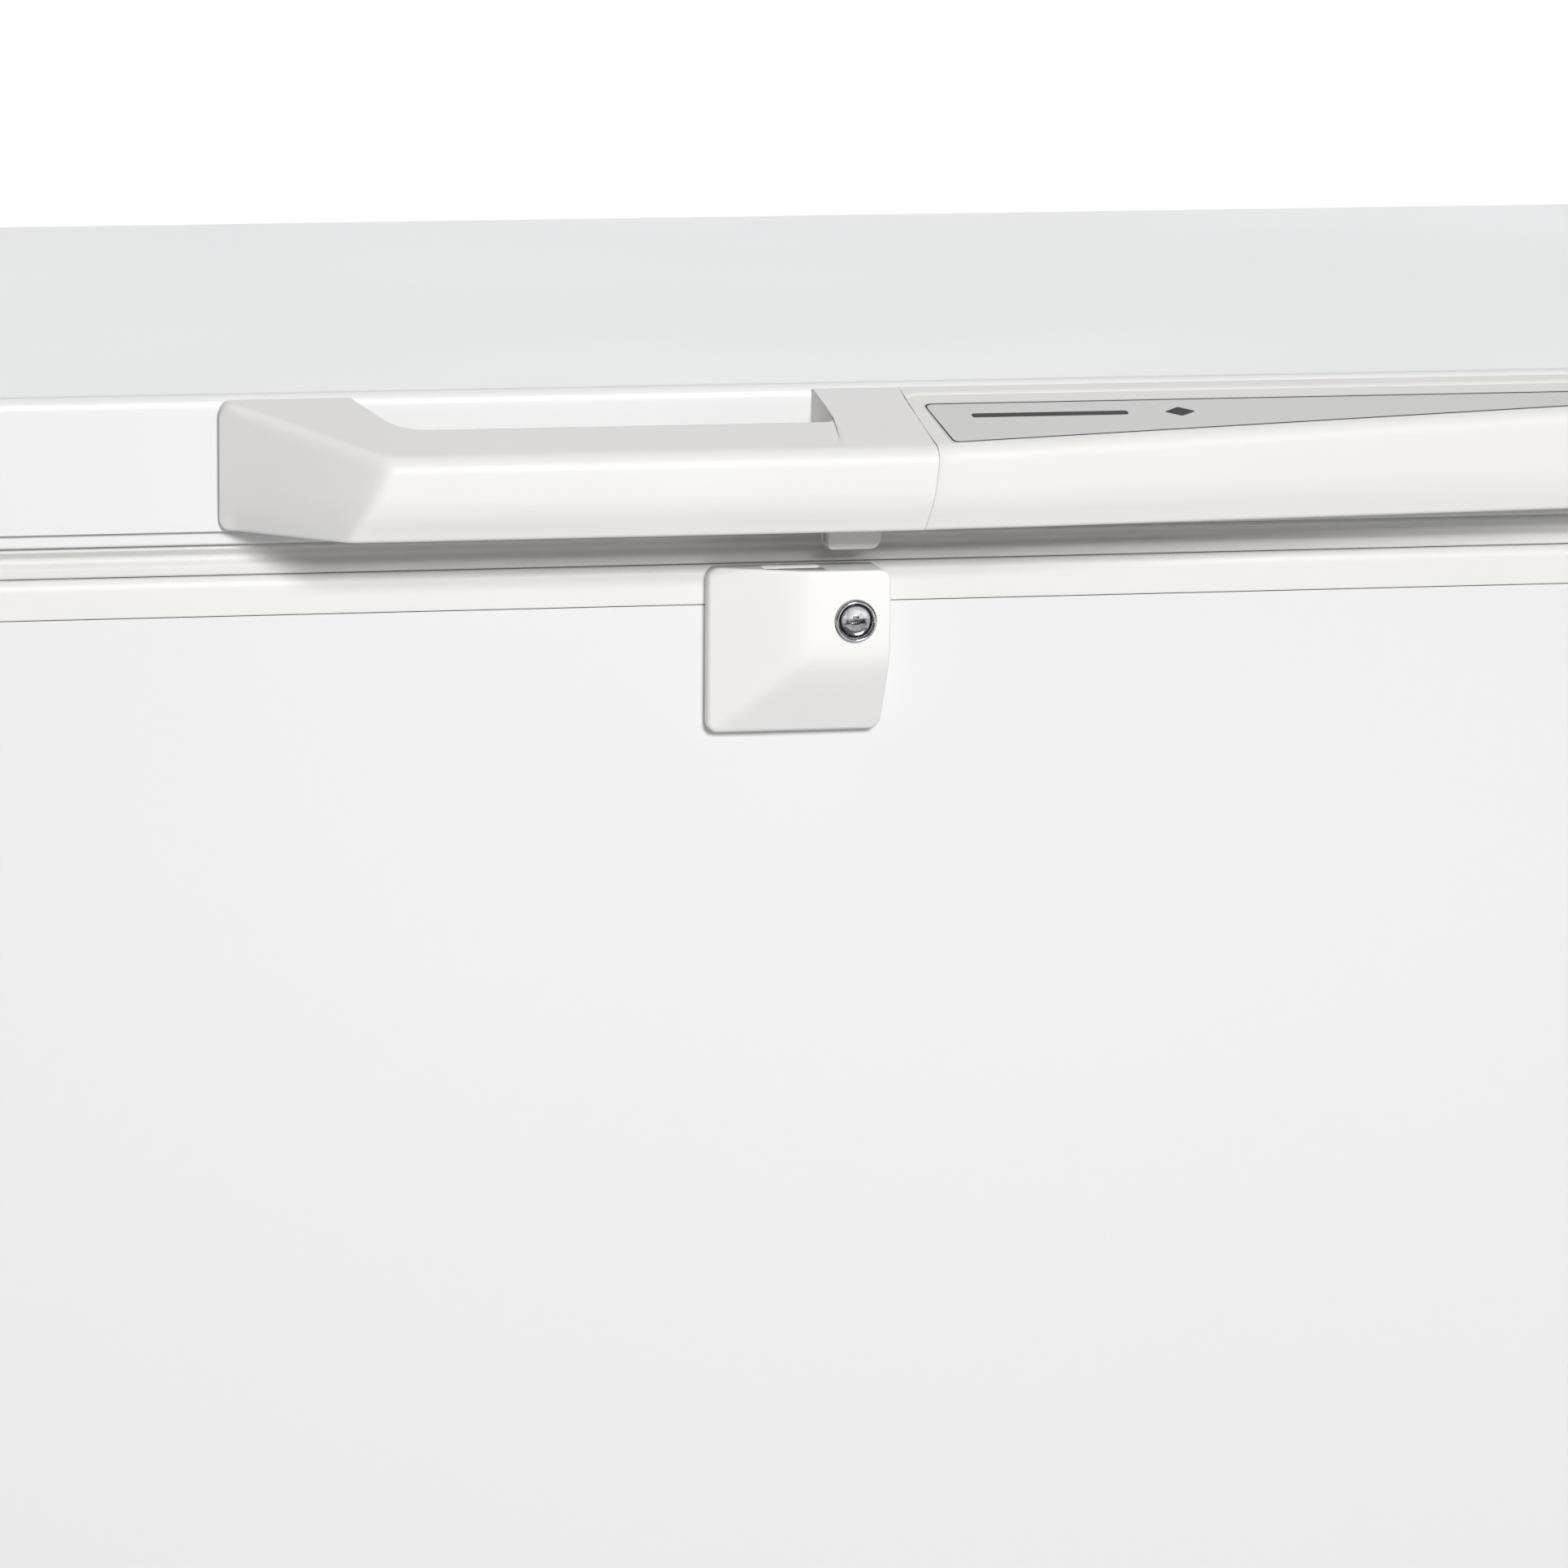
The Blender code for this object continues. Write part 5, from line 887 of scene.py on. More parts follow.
    def seam_at(self, reach: np.ndarray, height: np.ndarray) -> np.ndarray:
        """The x of the seam: it moves right with reach, and back left down the face."""
        fallen = self.fall_share(reach, height)
        out = np.maximum(reach, self.cover_rear + self.cover_corner)
        return self.seam + self.seam_lean * out / self.full + self.seam_low * fallen**1.4

    def seam_round(self, reach: np.ndarray) -> np.ndarray:
        """How far right the cover's rear corner draws the seam: radius - sqrt(radius^2 - d^2)."""
        deep = np.clip(reach - self.cover_rear, 0.0, self.cover_corner)
        return self.cover_corner - np.sqrt(self.cover_corner**2 - (self.cover_corner - deep) ** 2)

    def points(self, x: np.ndarray, reach: np.ndarray, height: np.ndarray) -> np.ndarray:
        """Points of the row frame from x, reach in front of the lid, and height."""
        x, reach, height = np.broadcast_arrays(x, reach, height)
        return np.stack([x, self.lid.plan[2] - reach, height], -1)

    def body(self) -> None:
        """The grip with its finger gap and the strip behind the cover, as sections along x."""
        rear, front_x = self.rear_route()
        reach = self.reach_at(front_x)
        depth = np.maximum(rear[:, 1] * self.gap_depth, CLEAR)
        depth_low = np.maximum(rear[:, 1] * self.gap_depth_low, CLEAR)
        out, height = self.sections(depth, depth_low, reach, front_x)
        share = (out - depth[:, None]) / np.maximum(reach - depth, TINY)[:, None]
        share = np.clip(share, 0.0, 1.0)
        fallen = self.fall_share(out, height)
        target = front_x[:, None] - self.lean_at(front_x)[:, None] * fallen**1.4
        x = rear[:, 0][:, None] + share * (target - rear[:, 0][:, None])
        full = self.points(x, out, height)
        full[-1] = self.points(self.seam_at(out[-1], height[-1]), out[-1], height[-1])
        angle = np.linspace(0.0, math.pi / 2, 11)
        rear_seam = self.seam + self.seam_lean * (self.cover_rear + self.cover_corner) / self.full
        strip_x = rear_seam + self.cover_corner * (1 - np.cos(angle)) + 0.0001
        straight = np.linspace(0.05, self.cover_end, 30)
        strip_x = np.concatenate([strip_x, straight])
        rounding = np.append(1 - np.sin(angle), np.zeros_like(straight))
        strip_reach = self.cover_rear + self.cover_corner * rounding
        end_x = np.linspace(self.cover_end, self.tail_tip, 16)
        strip_x = np.concatenate([strip_x, end_x])
        strip_reach = np.concatenate([strip_reach, self.reach_at(end_x)])
        none = np.full_like(strip_x, CLEAR)
        out, height = self.sections(none, none, strip_reach, strip_x)
        strip = self.points(strip_x[:, None], out, height)
        skin = Skin().closed(np.concatenate([full, strip]))
        stand_in(skin, "handle_body_moulded", MOULDED, "handle_body")

    def cover(self) -> None:
        """The cover of the tail: the sections' top and face only, from the seam to its end."""
        near, far = np.linspace(0.045, 0.075, 9), np.linspace(0.085, self.cover_end, 60)
        x = np.concatenate([near, far])
        x[-1] -= self.seam_gap
        reach = self.reach_at(x)
        rear = np.full_like(x, self.cover_rear + self.seam_gap)
        out, height = self.sections(rear, rear, reach, x)
        seen = slice(self.steps + 3, 4 * (self.steps + 3))
        out, height = out[:, seen], height[:, seen]
        back = np.linspace(rear, out[:, 0], 16, axis=1)[:, :-1]
        back = rear[:, None] + (back - rear[:, None]) ** 1.5 / np.sqrt(back[:, -1:] - rear[:, None])
        out = np.concatenate([back, out], 1)
        height = np.concatenate([self.top_at(back), height], 1)
        seam = self.seam_at(out[0], height[0]) + self.seam_round(out[0]) + self.seam_gap
        lead = np.append(np.linspace(0.0, 1.0, len(near)), np.ones_like(far))[:, None] ** 1.5
        where = seam * (1 - lead) + x[:, None] * lead
        skin = Skin().grid(self.points(where, out, height))
        made = stand_in(skin, "handle_cover_moulded", MOULDED, "handle_cover")
        eased(walled(made, 0.0022), 0.00025)

    def on_top(self, outline: np.ndarray, rise: float) -> np.ndarray:
        """Points of an outline (x, reach) on the sloping top face, raised by rise."""
        height = self.top_at(outline[:, 1]) + rise
        return self.points(outline[:, 0], outline[:, 1], height)

    def plate(self, outline: np.ndarray, low: float, high: float, edge: float) -> Skin:
        """A thin plate with an eased upper edge, between two heights over the top face."""
        middle = outline.mean(axis=0)
        inner = outline + edge * (middle - outline) / np.linalg.norm(
            middle - outline, axis=1, keepdims=True
        )
        levels = ((outline, low), (outline, high - edge), (inner, high))
        return Skin().closed(np.array([self.on_top(ring, rise) for ring, rise in levels]))

    def badge_outline(self, inset: float) -> np.ndarray:
        """The strip's outline (x, reach): a long wedge with rounded corners, drawn in by inset."""
        fall = (self.strip_front - self.strip_end) / (self.strip_right - self.strip_left_front)
        rear, right = self.strip_rear + inset, self.strip_right - inset
        corners = np.array([
            (self.strip_left + inset, rear), (right, rear), (right, self.strip_end - inset),
            (self.strip_left_front + 1.1 * inset, self.strip_front - inset * (1 + fall)),
        ])
        return softened(corners, [0.0035, 0.001, 0.001, 0.0022], 8)

    def badge(self) -> None:
        """The inlaid strip, its dark border line, and a plain bar and lozenge as its mark."""
        plate = self.plate(self.badge_outline(0.0), -0.0008, 0.00015, 0.0001)
        stand_in(plate, "handle_strip", BADGE, "handle_badge")
        outer, inner = self.badge_outline(0.0006), self.badge_outline(0.0012)
        low, high = 0.0001, 0.0002
        levels = ((outer, low), (outer, high), (inner, high), (inner, low))
        rings = [self.on_top(ring, rise) for ring, rise in levels]
        border = Skin().grid(np.array(rings), round_rows=True, round_columns=True)
        piece("strip_border", border.mesh("strip_border"), INK, "lid")
        mark = Skin()
        for corners, setback in ((BAR, 0.0015), (LOZENGE, 0.0008)):
            shape = softened(np.array(corners), setback)
            mark.closed(np.array([self.on_top(shape, low), self.on_top(shape, high)]))
        piece("strip_mark", mark.mesh("strip_mark"), INK, "lid")

    def build(self) -> None:
        """Makes the handle's pieces."""
        self.body()
        self.cover()
        self.badge()
        refined("latch_striker", MOULDED, 0.0006)


# --- lock

KEYWAY = (
    (0.0036, 0.0008), (0.0010, 0.0008), (0.0010, 0.0016), (-0.0010, 0.0016), (-0.0010, 0.0008),
    (-0.0036, 0.0008), (-0.0036, -0.0008), (-0.0014, -0.0008), (-0.0014, -0.0012),
    (0.0014, -0.0012), (0.0014, -0.0008), (0.0036, -0.0008),
)


@dataclass
class Lock:
    """The moulded lock cover with its raised boss, the barrel, the key plug and the cam."""

    half: float = 0.033
    corner: float = 0.0042
    wall: float = 0.0016
    edge: float = 0.0012
    rim: float = 0.002
    boss_height: float = 0.034
    boss_softness: float = 0.0035
    bore: float = 0.0080
    slot: tuple[float, float] = (-0.013, 0.009)
    slot_reach: tuple[float, float] = (0.0035, 0.0095)
    centre: Vector = field(init=False)
    top: float = field(init=False)
    low: float = field(init=False)
    boss: float = field(init=False)
    face: float = field(init=False)
    back: float = field(init=False)

    def __post_init__(self) -> None:
        """Reads the cover's and the barrel's places from the solids."""
        low, high = limits("lock_housing")
        self.top, self.low = high.z, low.z
        self.face = limits("lid_skin")[0].y
        self.back = self.face - high.y
        self.boss = self.face - low.y
        start, end = limits("lock_barrel")
        self.centre = (start + end) / 2

    def reach_at(self, x: np.ndarray, z: np.ndarray) -> np.ndarray:
        """How far the cover stands out: the boss, or the lower of two ramps, softly joined."""
        rise = self.boss - self.rim
        left = self.rim + rise * (x + self.half) / self.half
        under = self.rim + rise * (z - self.low) / (self.top - self.boss_height - self.low)
        ramps = smooth_least(left, under, 0.6 * self.boss_softness)
        reach = smooth_least(ramps, self.boss, self.boss_softness)
        qx = np.abs(x) - self.half + self.corner
        qz = np.abs(z - (self.top + self.low) / 2) - (self.top - self.low) / 2 + self.corner
        outside = np.hypot(np.maximum(qx, 0.0), np.maximum(qz, 0.0))
        inside = self.corner - outside - np.minimum(np.maximum(qx, qz), 0.0)
        short = np.clip(self.edge - inside, 0.0, self.edge)
        return reach - (self.edge - np.sqrt(self.edge**2 - short**2))

    def outline(self) -> np.ndarray:
        """The cover's outline (x, z) from the lower right round, with points at the slot's ends."""
        box = (-self.half, self.half, self.low, self.top)
        arcs = rounded_rectangle(box, self.corner, 12).reshape(4, 13, 2)
        stretch = self.half - self.corner
        start, end = self.slot
        runs = ((stretch, end, 24), (end, start, 26), (start, -stretch, 20))
        across = np.concatenate([np.linspace(*run)[1:] for run in runs])[:-1]
        upper = np.column_stack([across, np.full(len(across), self.top)])
        up = np.linspace(arcs[0][-1], arcs[1][0], 60)[1:-1]
        down = np.linspace(arcs[2][-1], arcs[3][0], 60)[1:-1]
        lower = np.linspace(arcs[3][-1], arcs[0][0], 70)[1:-1]
        return np.vstack([arcs[0], up, arcs[1], upper, arcs[2], down, arcs[3], lower])

    def housing(self) -> None:
        """The cover: rays from the barrel's hole to the outline, then side walls to the panel."""
        outline = self.outline()
        middle = np.array([self.centre.x, self.centre.z])
        away = outline - middle
        ring = middle + self.bore * away / np.linalg.norm(away, axis=1, keepdims=True)
        share = 1 - (1 - np.linspace(0.0, 1.0, 60)) ** 1.6
        plane = ring[None] + share[:, None, None] * (outline - ring)[None]
        x, z = plane[..., 0], plane[..., 1]
        reach = self.reach_at(x, z)
        rim = reach[-1]
        step = 0.0004
        marks = [self.slot_reach[1], self.slot_reach[0], self.back + step]
        walls = [np.minimum(rim - step * (k + 1), mark) for k, mark in enumerate(marks)]
        walls[-1] = np.full_like(rim, marks[-1])
        bore = [reach[0] - 10 * step, reach[0] - step]
        rows = np.vstack([bore, reach, walls])
        flat = np.concatenate([plane[:1], plane[:1], plane, plane[-1:], plane[-1:], plane[-1:]])
        net = np.stack([flat[..., 0], self.face - rows, flat[..., 1]], -1)
        kept = np.ones((net.shape[0] - 1, net.shape[1]), bool)
        middles = (outline[:, 0] + np.roll(outline[:, 0], -1)) / 2
        above = (outline[:, 1] > self.top - TINY) & (np.roll(outline[:, 1], -1) > self.top - TINY)
        kept[-2, above & (middles > self.slot[0]) & (middles < self.slot[1])] = False
        skin = Skin().grid(net, round_columns=True, kept=kept)
        walled(stand_in(skin, "lock_cover_moulded", LOCK_WHITE, "lock_housing"), self.wall)

    def barrel(self) -> None:
        """The chromed sleeve, turned, with a rolled rim."""
        low, high = limits("lock_barrel")
        outer = (high.x - low.x) / 2
        front, back = self.face - low.y, self.face - high.y
        corners = np.array([
            (outer - 0.0019, back), (outer, back), (outer, front - 0.0006), (outer - 0.0007, front),
            (outer - 0.0012, front - 0.0003), (outer - 0.0019, front - 0.0016),
        ])
        profile = softened(corners, 0.0003, 4)
        net = turned(profile, (self.centre.x, self.face, self.centre.z), (0, -1, 0), 72)
        skin = Skin().grid(net, round_rows=True, round_columns=True)
        stand_in(skin, "lock_barrel_chromed", CHROME_PAINTED_REFLECTIONS, "lock_barrel")

    def plug(self) -> None:
        """The key plug: a dished face from the keyway's outline to its rim, and its side."""
        low, high = limits("lock_plug")
        radius = (limits("lock_barrel")[1].x - limits("lock_barrel")[0].x) / 2 - 0.0021
        front, back = self.face - low.y, self.face - high.y
        around = 96
        angle = np.linspace(0.0, math.tau, around, endpoint=False)
        round_ring = np.stack([np.cos(angle), np.sin(angle)], -1)
        closed = np.array([*KEYWAY, KEYWAY[0]])
        run = np.concatenate([[0.0], np.cumsum(np.linalg.norm(np.diff(closed, axis=0), axis=1))])
        at = np.linspace(0.0, run[-1], around, endpoint=False)
        key = np.stack([np.interp(at, run, closed[:, 0]), np.interp(at, run, closed[:, 1])], -1)
        rings = [(key, front - 0.005), (key, front - 0.0006), (1.12 * key, front - 0.0004)]
        for share in (0.5, 0.75):
            rings.append((key * (1 - share) + share * radius * round_ring, front - 0.0003))
        outside = (
            (0.93, front), (1.0, front - 0.0004), (1.0, back + 0.011), (0.45, back + 0.011),
            (0.45, back + 0.0005),
        )
        rings += [(share * radius * round_ring, out) for share, out in outside]
        net = np.array([
            np.column_stack([
                self.centre.x + ring[:, 0],
                np.full(around, self.face - out),
                self.centre.z + ring[:, 1],
            ])
            for ring, out in rings
        ])
        stand_in(Skin().closed(net), "key_plug_chromed", CHROME_PAINTED_REFLECTIONS, "lock_plug")

    def build(self) -> None:
        """Makes the lock's pieces."""
        self.housing()
        self.barrel()
        self.plug()
        refined("lock_cam", ZINC, 0.0003)


# --- cabinet


@dataclass
class Cabinet:
    """The top frame, the sheets, the tub, the base and the pieces of the cold circuit."""

    corner: float = 0.012
    wall: float = 0.065
    ledge: float = 0.008
    ledge_drop: float = 0.0099
    frame_wall: float = 0.003
    lip_wall: float = 0.002
    lip_drop: float = 0.017

    def top_frame(self) -> None:
        """The moulded frame: outer trim with a rolled edge, flat top, basket ledge and lip."""
        low, high = limits("top_frame")
        plan = (low.x, high.x, low.y, high.y)
        trim = limits("cabinet_shell")[1].z + CLEAR
        top, ledge = high.z, high.z - self.ledge_drop
        start, sheet = self.wall - self.ledge, self.frame_wall
        lip, foot = self.wall - self.lip_wall, ledge - self.lip_drop
        corners = np.array([
            (0.0, trim), (0.0, top), (start, top), (start, ledge), (self.wall, ledge),
            (self.wall, foot), (lip, foot), (lip, ledge - sheet), (start - sheet, ledge - sheet),
            (start - sheet, top - sheet), (sheet, top - sheet), (sheet, trim),
        ])
        edges = [0.0005, 0.0042, 0.0022, 0.0018, 0.0022, 0.0008, 0.0008]
        setbacks = [*edges, 0.001, 0.001, 0.001, 0.001, 0.0005]
        net = carried(plan, self.corner, softened(corners, setbacks), 14)
        skin = Skin().grid(net, round_rows=True, round_columns=True)
        stand_in(skin, "top_frame_moulded", MOULDED, "top_frame")

    def build(self) -> None:
        """Makes the cabinet's pieces."""
        self.top_frame()
        for node, finish, edge in (
            ("cabinet_shell", ENAMEL, 0.0003), ("cabinet_back", ENAMEL, 0.0),
            ("room_cover", ENAMEL, 0.0004), ("inner_tub", STUCCO, 0.0),
            ("compressor", BLACK_ENAMEL, 0.0), ("compressor_plate", BLACK_ENAMEL, 0.0005),
            ("relay_cover", BLACK_MOULDED, 0.0008), ("filter_drier", COPPER, 0.0),
        ):
            refined(node, finish, edge)
        for number in range(1, 5):
            refined(f"compressor_grommet_{number}", RUBBER, 0.0006)
        for tubing in ("suction_tube", "discharge_tube", "capillary_tube", "evaporator_coil"):
            refined(tubing, COPPER, 0.0)
        refined("condenser_coil", ZINC, 0.0)
        dressed(["base_tray"], ZINC)
        dressed(["foam_body"], FOAM)


@dataclass
class Hinge:
    """A sprung hinge, named for its side, with a fine spring wound round its pin."""

    side: str
    turns: int = 5
    wire: float = 0.0008
    leg: float = 0.019

    def spring(self) -> None:
        """The spring: x runs along the pin while the wire circles it, with a leg down the leaf."""
        node = f"hinge_spring_{self.side}"
        low, high = limits(node)
        pin_low, pin_high = limits(f"hinge_pin_{self.side}")
        y, z = (pin_low.y + pin_high.y) / 2, (pin_low.z + pin_high.z) / 2
        mean = high.z - z - self.wire
        angle = np.linspace(0.0, math.tau * self.turns, 24 * self.turns)
        x = np.linspace(low.x + self.wire, high.x - self.wire, len(angle))
        coil = np.stack([x, y + mean * np.cos(angle), z + mean * np.sin(angle)], -1)
        leg = np.linspace((coil[0, 0], y + mean, z - self.leg), coil[0], 8)[:-1]
        net = tube(np.vstack([leg, coil]), self.wire * 0.9, (1.0, 0.0, 0.0))
        stand_in(Skin().closed(net), f"{node}_wound", ZINC, node)

    def build(self) -> None:
        """Makes the hinge's pieces."""
        for part in ("leaf", "base", "pin"):
            refined(f"hinge_{part}_{self.side}", ZINC, 0.0004)
        self.spring()


# --- controls, fittings


@dataclass
class Controls:
    """The grille and the panel low on the front, with the knob's printed scale."""

    ticks: int = 7
    sweep: float = 270.0
    first_angle: float = 225.0
    tick_start: float = 0.002
    tick_length: float = 0.0022
    tick_growth: float = 0.0003
    tick_half: float = 0.0005

    def scale(self) -> None:
        """The marks round the knob: short bars on an arc, longer towards the coldest setting."""
        low, high = limits("thermostat_knob")
        x, z = (low.x + high.x) / 2, (low.z + high.z) / 2
        radius = (high.x - low.x) / 2
        face = limits("control_panel")[0].y
        skin = Skin()
        for k in range(self.ticks):
            angle = math.radians(self.first_angle - self.sweep * k / (self.ticks - 1))
            out = np.array([math.cos(angle), math.sin(angle)])
            across = np.array([-out[1], out[0]])
            length = self.tick_length + self.tick_growth * k
            flat = np.array([
                out * (radius + self.tick_start + along * length) + side * self.tick_half * across
                for along, side in ((0, -1), (1, -1), (1, 1), (0, 1))
            ])
            rings = [
                np.column_stack([x + flat[:, 0], np.full(4, face - rise), z + flat[:, 1]])
                for rise in (-0.0001, 0.0001)
            ]
            skin.closed(np.array(rings))
        piece("knob_scale", skin.mesh("knob_scale"), INK, "cabinet")

    def build(self) -> None:
        """Makes the controls."""
        for node in ("vent_grille", "control_panel", "thermostat_knob"):
            refined(node, MOULDED, 0.0005)
        refined("freeze_switch", GREY_MOULDED, 0.0005)
        refined("indicator_window", LENS, 0.0004)
        dressed(["thermostat"], GREY_MOULDED)
        self.scale()


@dataclass
class Basket:
    """A hanging basket of coated wire, named for its side."""

    side: str
    wire: float = 0.0015
    rim: float = 0.0021
    pitch: float = 0.024
    taper: float = 0.012
    corner: float = 0.022
    rings: int = 5
    rail: float = 0.016
    rail_bend: float = 0.006
    wire_bend: float = 0.010

    def build(self) -> None:
        """Rings round the sides, wires down, under and up both ways, and a rim with two rails."""
        node = f"basket_{self.side}"
        low, high = limits(node)
        top = high.z - self.rim
        front, back = low.y + self.rail + self.wire, high.y - self.rail - self.wire
        plan = (low.x + self.wire, high.x - self.wire, front, back)
        skin = Skin()
        floor = low.z + self.wire
        for k in range(self.rings + 1):
            share = k / self.rings
            inset = self.taper * (1 - share)
            z = floor + (top - floor) * share
            inner = (plan[0] + inset, plan[1] - inset, plan[2] + inset, plan[3] - inset)
            ring = rounded_rectangle(inner, self.corner, 8)
            path = np.column_stack([ring, np.full(len(ring), z)])
            self.loop(skin, path, self.rim if k == self.rings else self.wire)
        for axis in (0, 1):
            self.wires(skin, plan, floor, top, axis)
        for y, edge in ((low.y + self.rim, plan[2]), (high.y - self.rim, plan[3])):
            corners = np.array([
                (plan[0] + self.corner, edge, top), (plan[0] + self.corner, y, top),
                (plan[1] - self.corner, y, top), (plan[1] - self.corner, edge, top),
            ])
            skin.closed(tube(bent(corners, self.rail_bend), self.rim, (0.0, 0.0, 1.0)))
        stand_in(skin, f"{node}_wires", WIRE_COAT, node)

    def loop(self, skin: Skin, path: np.ndarray, radius: float) -> None:
        """Adds a closed wire along a level path."""
        around = np.vstack([path[-1:], path, path[:1]])
        ahead = around[2:] - around[:-2]
        ahead /= np.linalg.norm(ahead, axis=1, keepdims=True)
        side = np.cross(ahead, (0.0, 0.0, 1.0))
        angle = np.linspace(0.0, math.tau, 8, endpoint=False)[None, :, None]
        net = path[:, None] + radius * (
            np.cos(angle) * side[:, None] + np.sin(angle) * np.array([0.0, 0.0, 1.0])
        )
        skin.grid(net, round_rows=True, round_columns=True)

    def wires(self, skin: Skin, plan: Plan, floor: float, top: float, axis: int) -> None:
        """Adds the wires that run down, under and up, spaced along x (axis 0) or y (axis 1).

        Args:
            skin: the skin that they are added to.
            plan: the mouth's limits.
            floor: the height of the floor wires.
            top: the height of the rim.
            axis: 0 for wires spaced along x, 1 for wires spaced along y.
        """
        a0, a1 = plan[2 * axis] + self.corner, plan[2 * axis + 1] - self.corner
        b0, b1 = plan[2 - 2 * axis], plan[3 - 2 * axis]
        count = max(2, round((a1 - a0) / self.pitch))
        sink = 2 * self.wire * axis
        for at in np.linspace(a0, a1, count + 1):
            foot = floor + sink
            corners = np.array([
                (at, b0, top), (at, b0 + self.taper, foot), (at, b1 - self.taper, foot),
                (at, b1, top),
            ])
            path = bent(corners, self.wire_bend, 5)
            path = path if axis == 0 else path[:, [1, 0, 2]]
            reference = (1.0, 0.0, 0.0) if axis == 0 else (0.0, 1.0, 0.0)
            skin.closed(tube(path, self.wire, reference, 7))


@dataclass
class Fittings:
    """The drain, the power inlet, the feet and the rollers."""

    def foot(self, node: str) -> None:
        """A foot turned from its rounded sole to its stem."""
        low, high = limits(node)
        radius = (high.x - low.x) / 2
        corners = np.array([
            (0.0, low.z), (radius - 0.001, low.z), (radius, low.z + 0.003), (radius, low.z + 0.010),
            (0.7 * radius, low.z + 0.015), (0.7 * radius, high.z), (0.0, high.z),
        ])
        profile = softened(corners, [0.0, 0.0012, 0.0012, 0.0025, 0.0025, 0.0006, 0.0])
        net = turned(profile, ((low.x + high.x) / 2, (low.y + high.y) / 2, 0.0), (0, 0, 1))
        stand_in(Skin().grid(net, round_columns=True), f"{node}_turned", BLACK_MOULDED, node)

    def wheel(self, side: str) -> None:
        """A roller turned from its hub to a tread with rounded shoulders."""
        node = f"roller_wheel_{side}"
        low, high = limits(node)
        radius, half = (high.z - low.z) / 2, (high.x - low.x) / 2
        deep = half - 0.002
        side_out = np.array([
            (0.0033, half), (0.007, half), (0.009, deep), (0.0125, deep), (0.014, half),
            (radius, half),
        ])
        corners = np.vstack([side_out * (1.0, -1.0), side_out[::-1]])
        edges = [0.0, 0.0006, 0.0008, 0.0008, 0.0006, 0.003]
        net = turned(softened(corners, edges + edges[::-1]), (low + high) / 2, (1, 0, 0))
        skin = Skin().grid(net, round_rows=True, round_columns=True)
        stand_in(skin, f"{node}_turned", BLACK_MOULDED, node)

    def build(self) -> None:
        """Makes the fittings."""
        for side in ("left", "right"):
            self.foot(f"front_foot_{side}")
            self.wheel(side)
            refined(f"roller_bracket_{side}", ZINC, 0.0004)
        refined("drain_pipe", GREY_MOULDED, 0.0003)
        refined("drain_plug", RUBBER, 0.0005)
        refined("drain_cap", MOULDED, 0.0006)
        refined("power_inlet", BLACK_MOULDED, 0.0004)


# --- studio


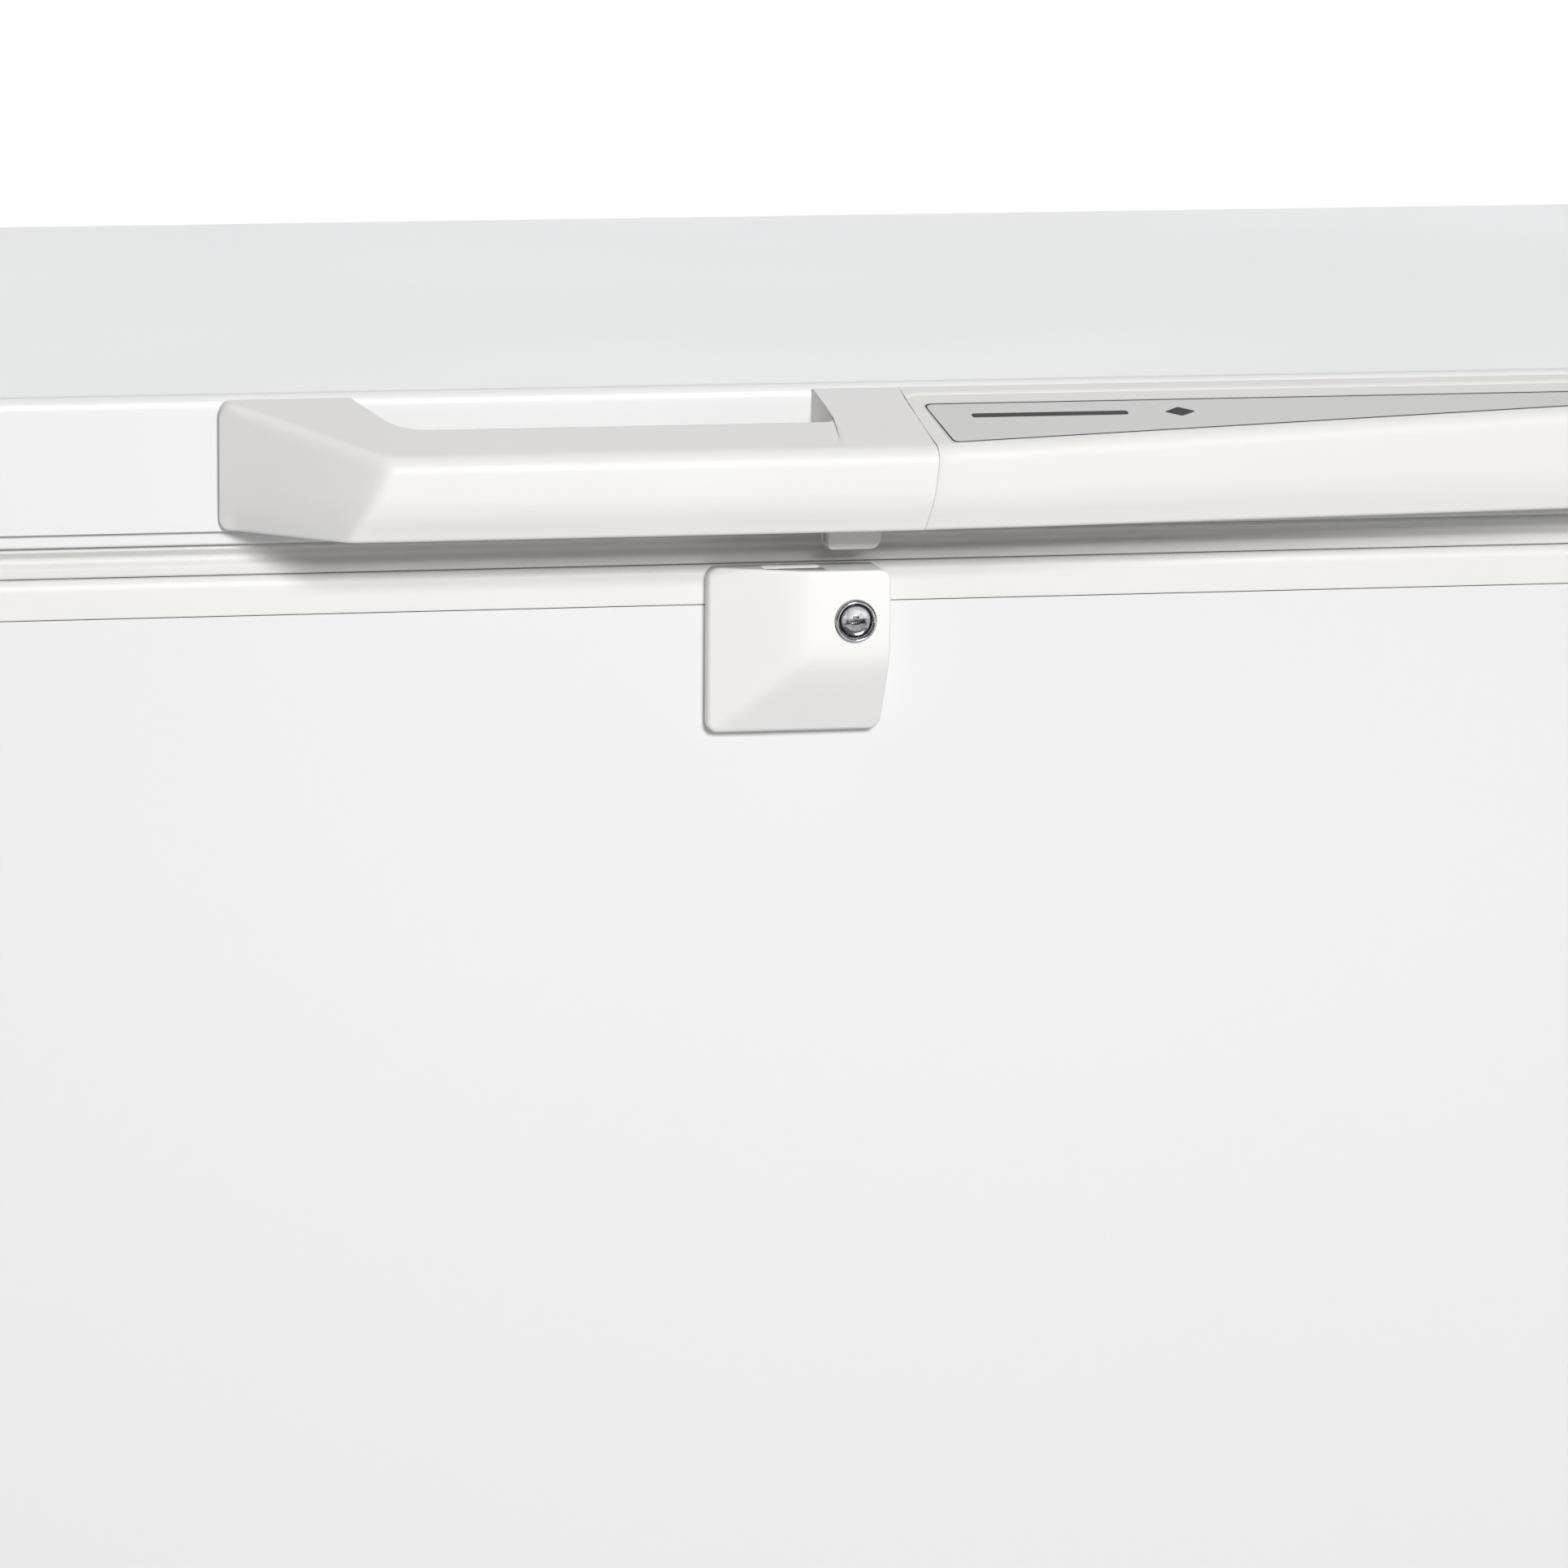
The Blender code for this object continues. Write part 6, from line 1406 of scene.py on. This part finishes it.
@dataclass(frozen=True)
class Studio:
    """The floor, the soft light and the camera."""

    eye: Colour = (-0.6992, -3.4399, 1.2230)
    aim: Colour = (-0.0031, -0.3005, 0.6990)
    lens: float = 199.4
    roll: float = 0.372
    floor_size: float = 60.0
    floor_glow: float = 0.75
    surround: float = 0.295

    def camera(self) -> None:
        """A long lens from the left of the front, turned a little about its own line of sight."""
        data = bpy.data.cameras.new("camera")
        data.lens = self.lens
        camera = placed("camera", data)
        ahead = Vector(self.aim) - Vector(self.eye)
        turn = ahead.to_track_quat("-Z", "Y") @ Quaternion((0.0, 0.0, 1.0), math.radians(self.roll))
        camera.location = self.eye
        camera.rotation_mode = "QUATERNION"
        camera.rotation_quaternion = turn
        data.clip_end = 100.0
        bpy.context.scene.camera = camera

    def floor(self) -> None:
        """A wide, pale floor, faintly mottled."""
        half = self.floor_size / 2
        at = np.linspace(-half, half, 2)
        x, y = np.meshgrid(at, at, indexing="ij")
        skin = Skin().grid(np.stack([x, y, np.zeros_like(x)], -1)[::-1])
        mesh = skin.mesh("floor")
        shader = Shader("pale_floor")
        tone = shader.blend(shader.noise(0.6), (0.93, 0.93, 0.93), (0.90, 0.90, 0.90))
        shader.feed(shader.surface.inputs["Base Color"], tone)
        shader.feed(shader.surface.inputs["Roughness"], 0.9)
        shader.feed(shader.surface.inputs["Specular IOR Level"], 0.2)
        shader.feed(shader.surface.inputs["Emission Color"], (1.0, 1.0, 1.0, 1.0))
        shader.feed(shader.surface.inputs["Emission Strength"], self.floor_glow)
        mesh.materials.append(shader.material)
        made = placed("floor", mesh)
        made.visible_diffuse = False

    def panel(self, name: str, place: Colour, size: float, power: float, tint: Colour) -> None:
        """A soft square light that faces the front of the lid and stays out of sight."""
        data = bpy.data.lights.new(name, "AREA")
        data.shape = "SQUARE"
        data.size = size
        data.energy = power
        data.color = tint
        light = placed(name, data)
        light.location = place
        light.rotation_mode = "QUATERNION"
        light.rotation_quaternion = (Vector(self.aim) - Vector(place)).to_track_quat("-Z", "Y")
        light.visible_camera = False

    def build(self) -> None:
        """Makes the surroundings."""
        scene = bpy.context.scene
        scene.view_settings.view_transform = "Standard"
        world = bpy.data.worlds.new("studio")
        scene.world = world
        world.use_nodes = True
        sky = world.node_tree.nodes["Background"]
        sky.inputs["Color"].default_value = (1.0, 1.0, 1.0, 1.0)
        sky.inputs["Strength"].default_value = self.surround
        self.camera()
        self.floor()
        warm, cool = (1.0, 0.995, 0.985), (0.98, 0.99, 1.0)
        self.panel("key", (0.43, -4.45, 2.39), 1.0, 170.0, warm)
        self.panel("rear", (1.3, 5.6, 2.0), 5.0, 80.0, cool)
        self.panel("above", (0.0, 1.4, 4.2), 2.0, 12.0, cool)


# --- assembly


def main() -> None:
    """Builds the freezer's looks and its surroundings."""
    logging.basicConfig(level=logging.INFO, format="%(name)s: %(message)s")
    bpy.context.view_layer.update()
    Studio().build()
    lid = Lid()
    lid.build()
    Handle(lid).build()
    Lock().build()
    Cabinet().build()
    for side in ("left", "right"):
        Hinge(side).build()
        Basket(side).build()
    Controls().build()
    Fittings().build()


if __name__ == "__main__":
    main()
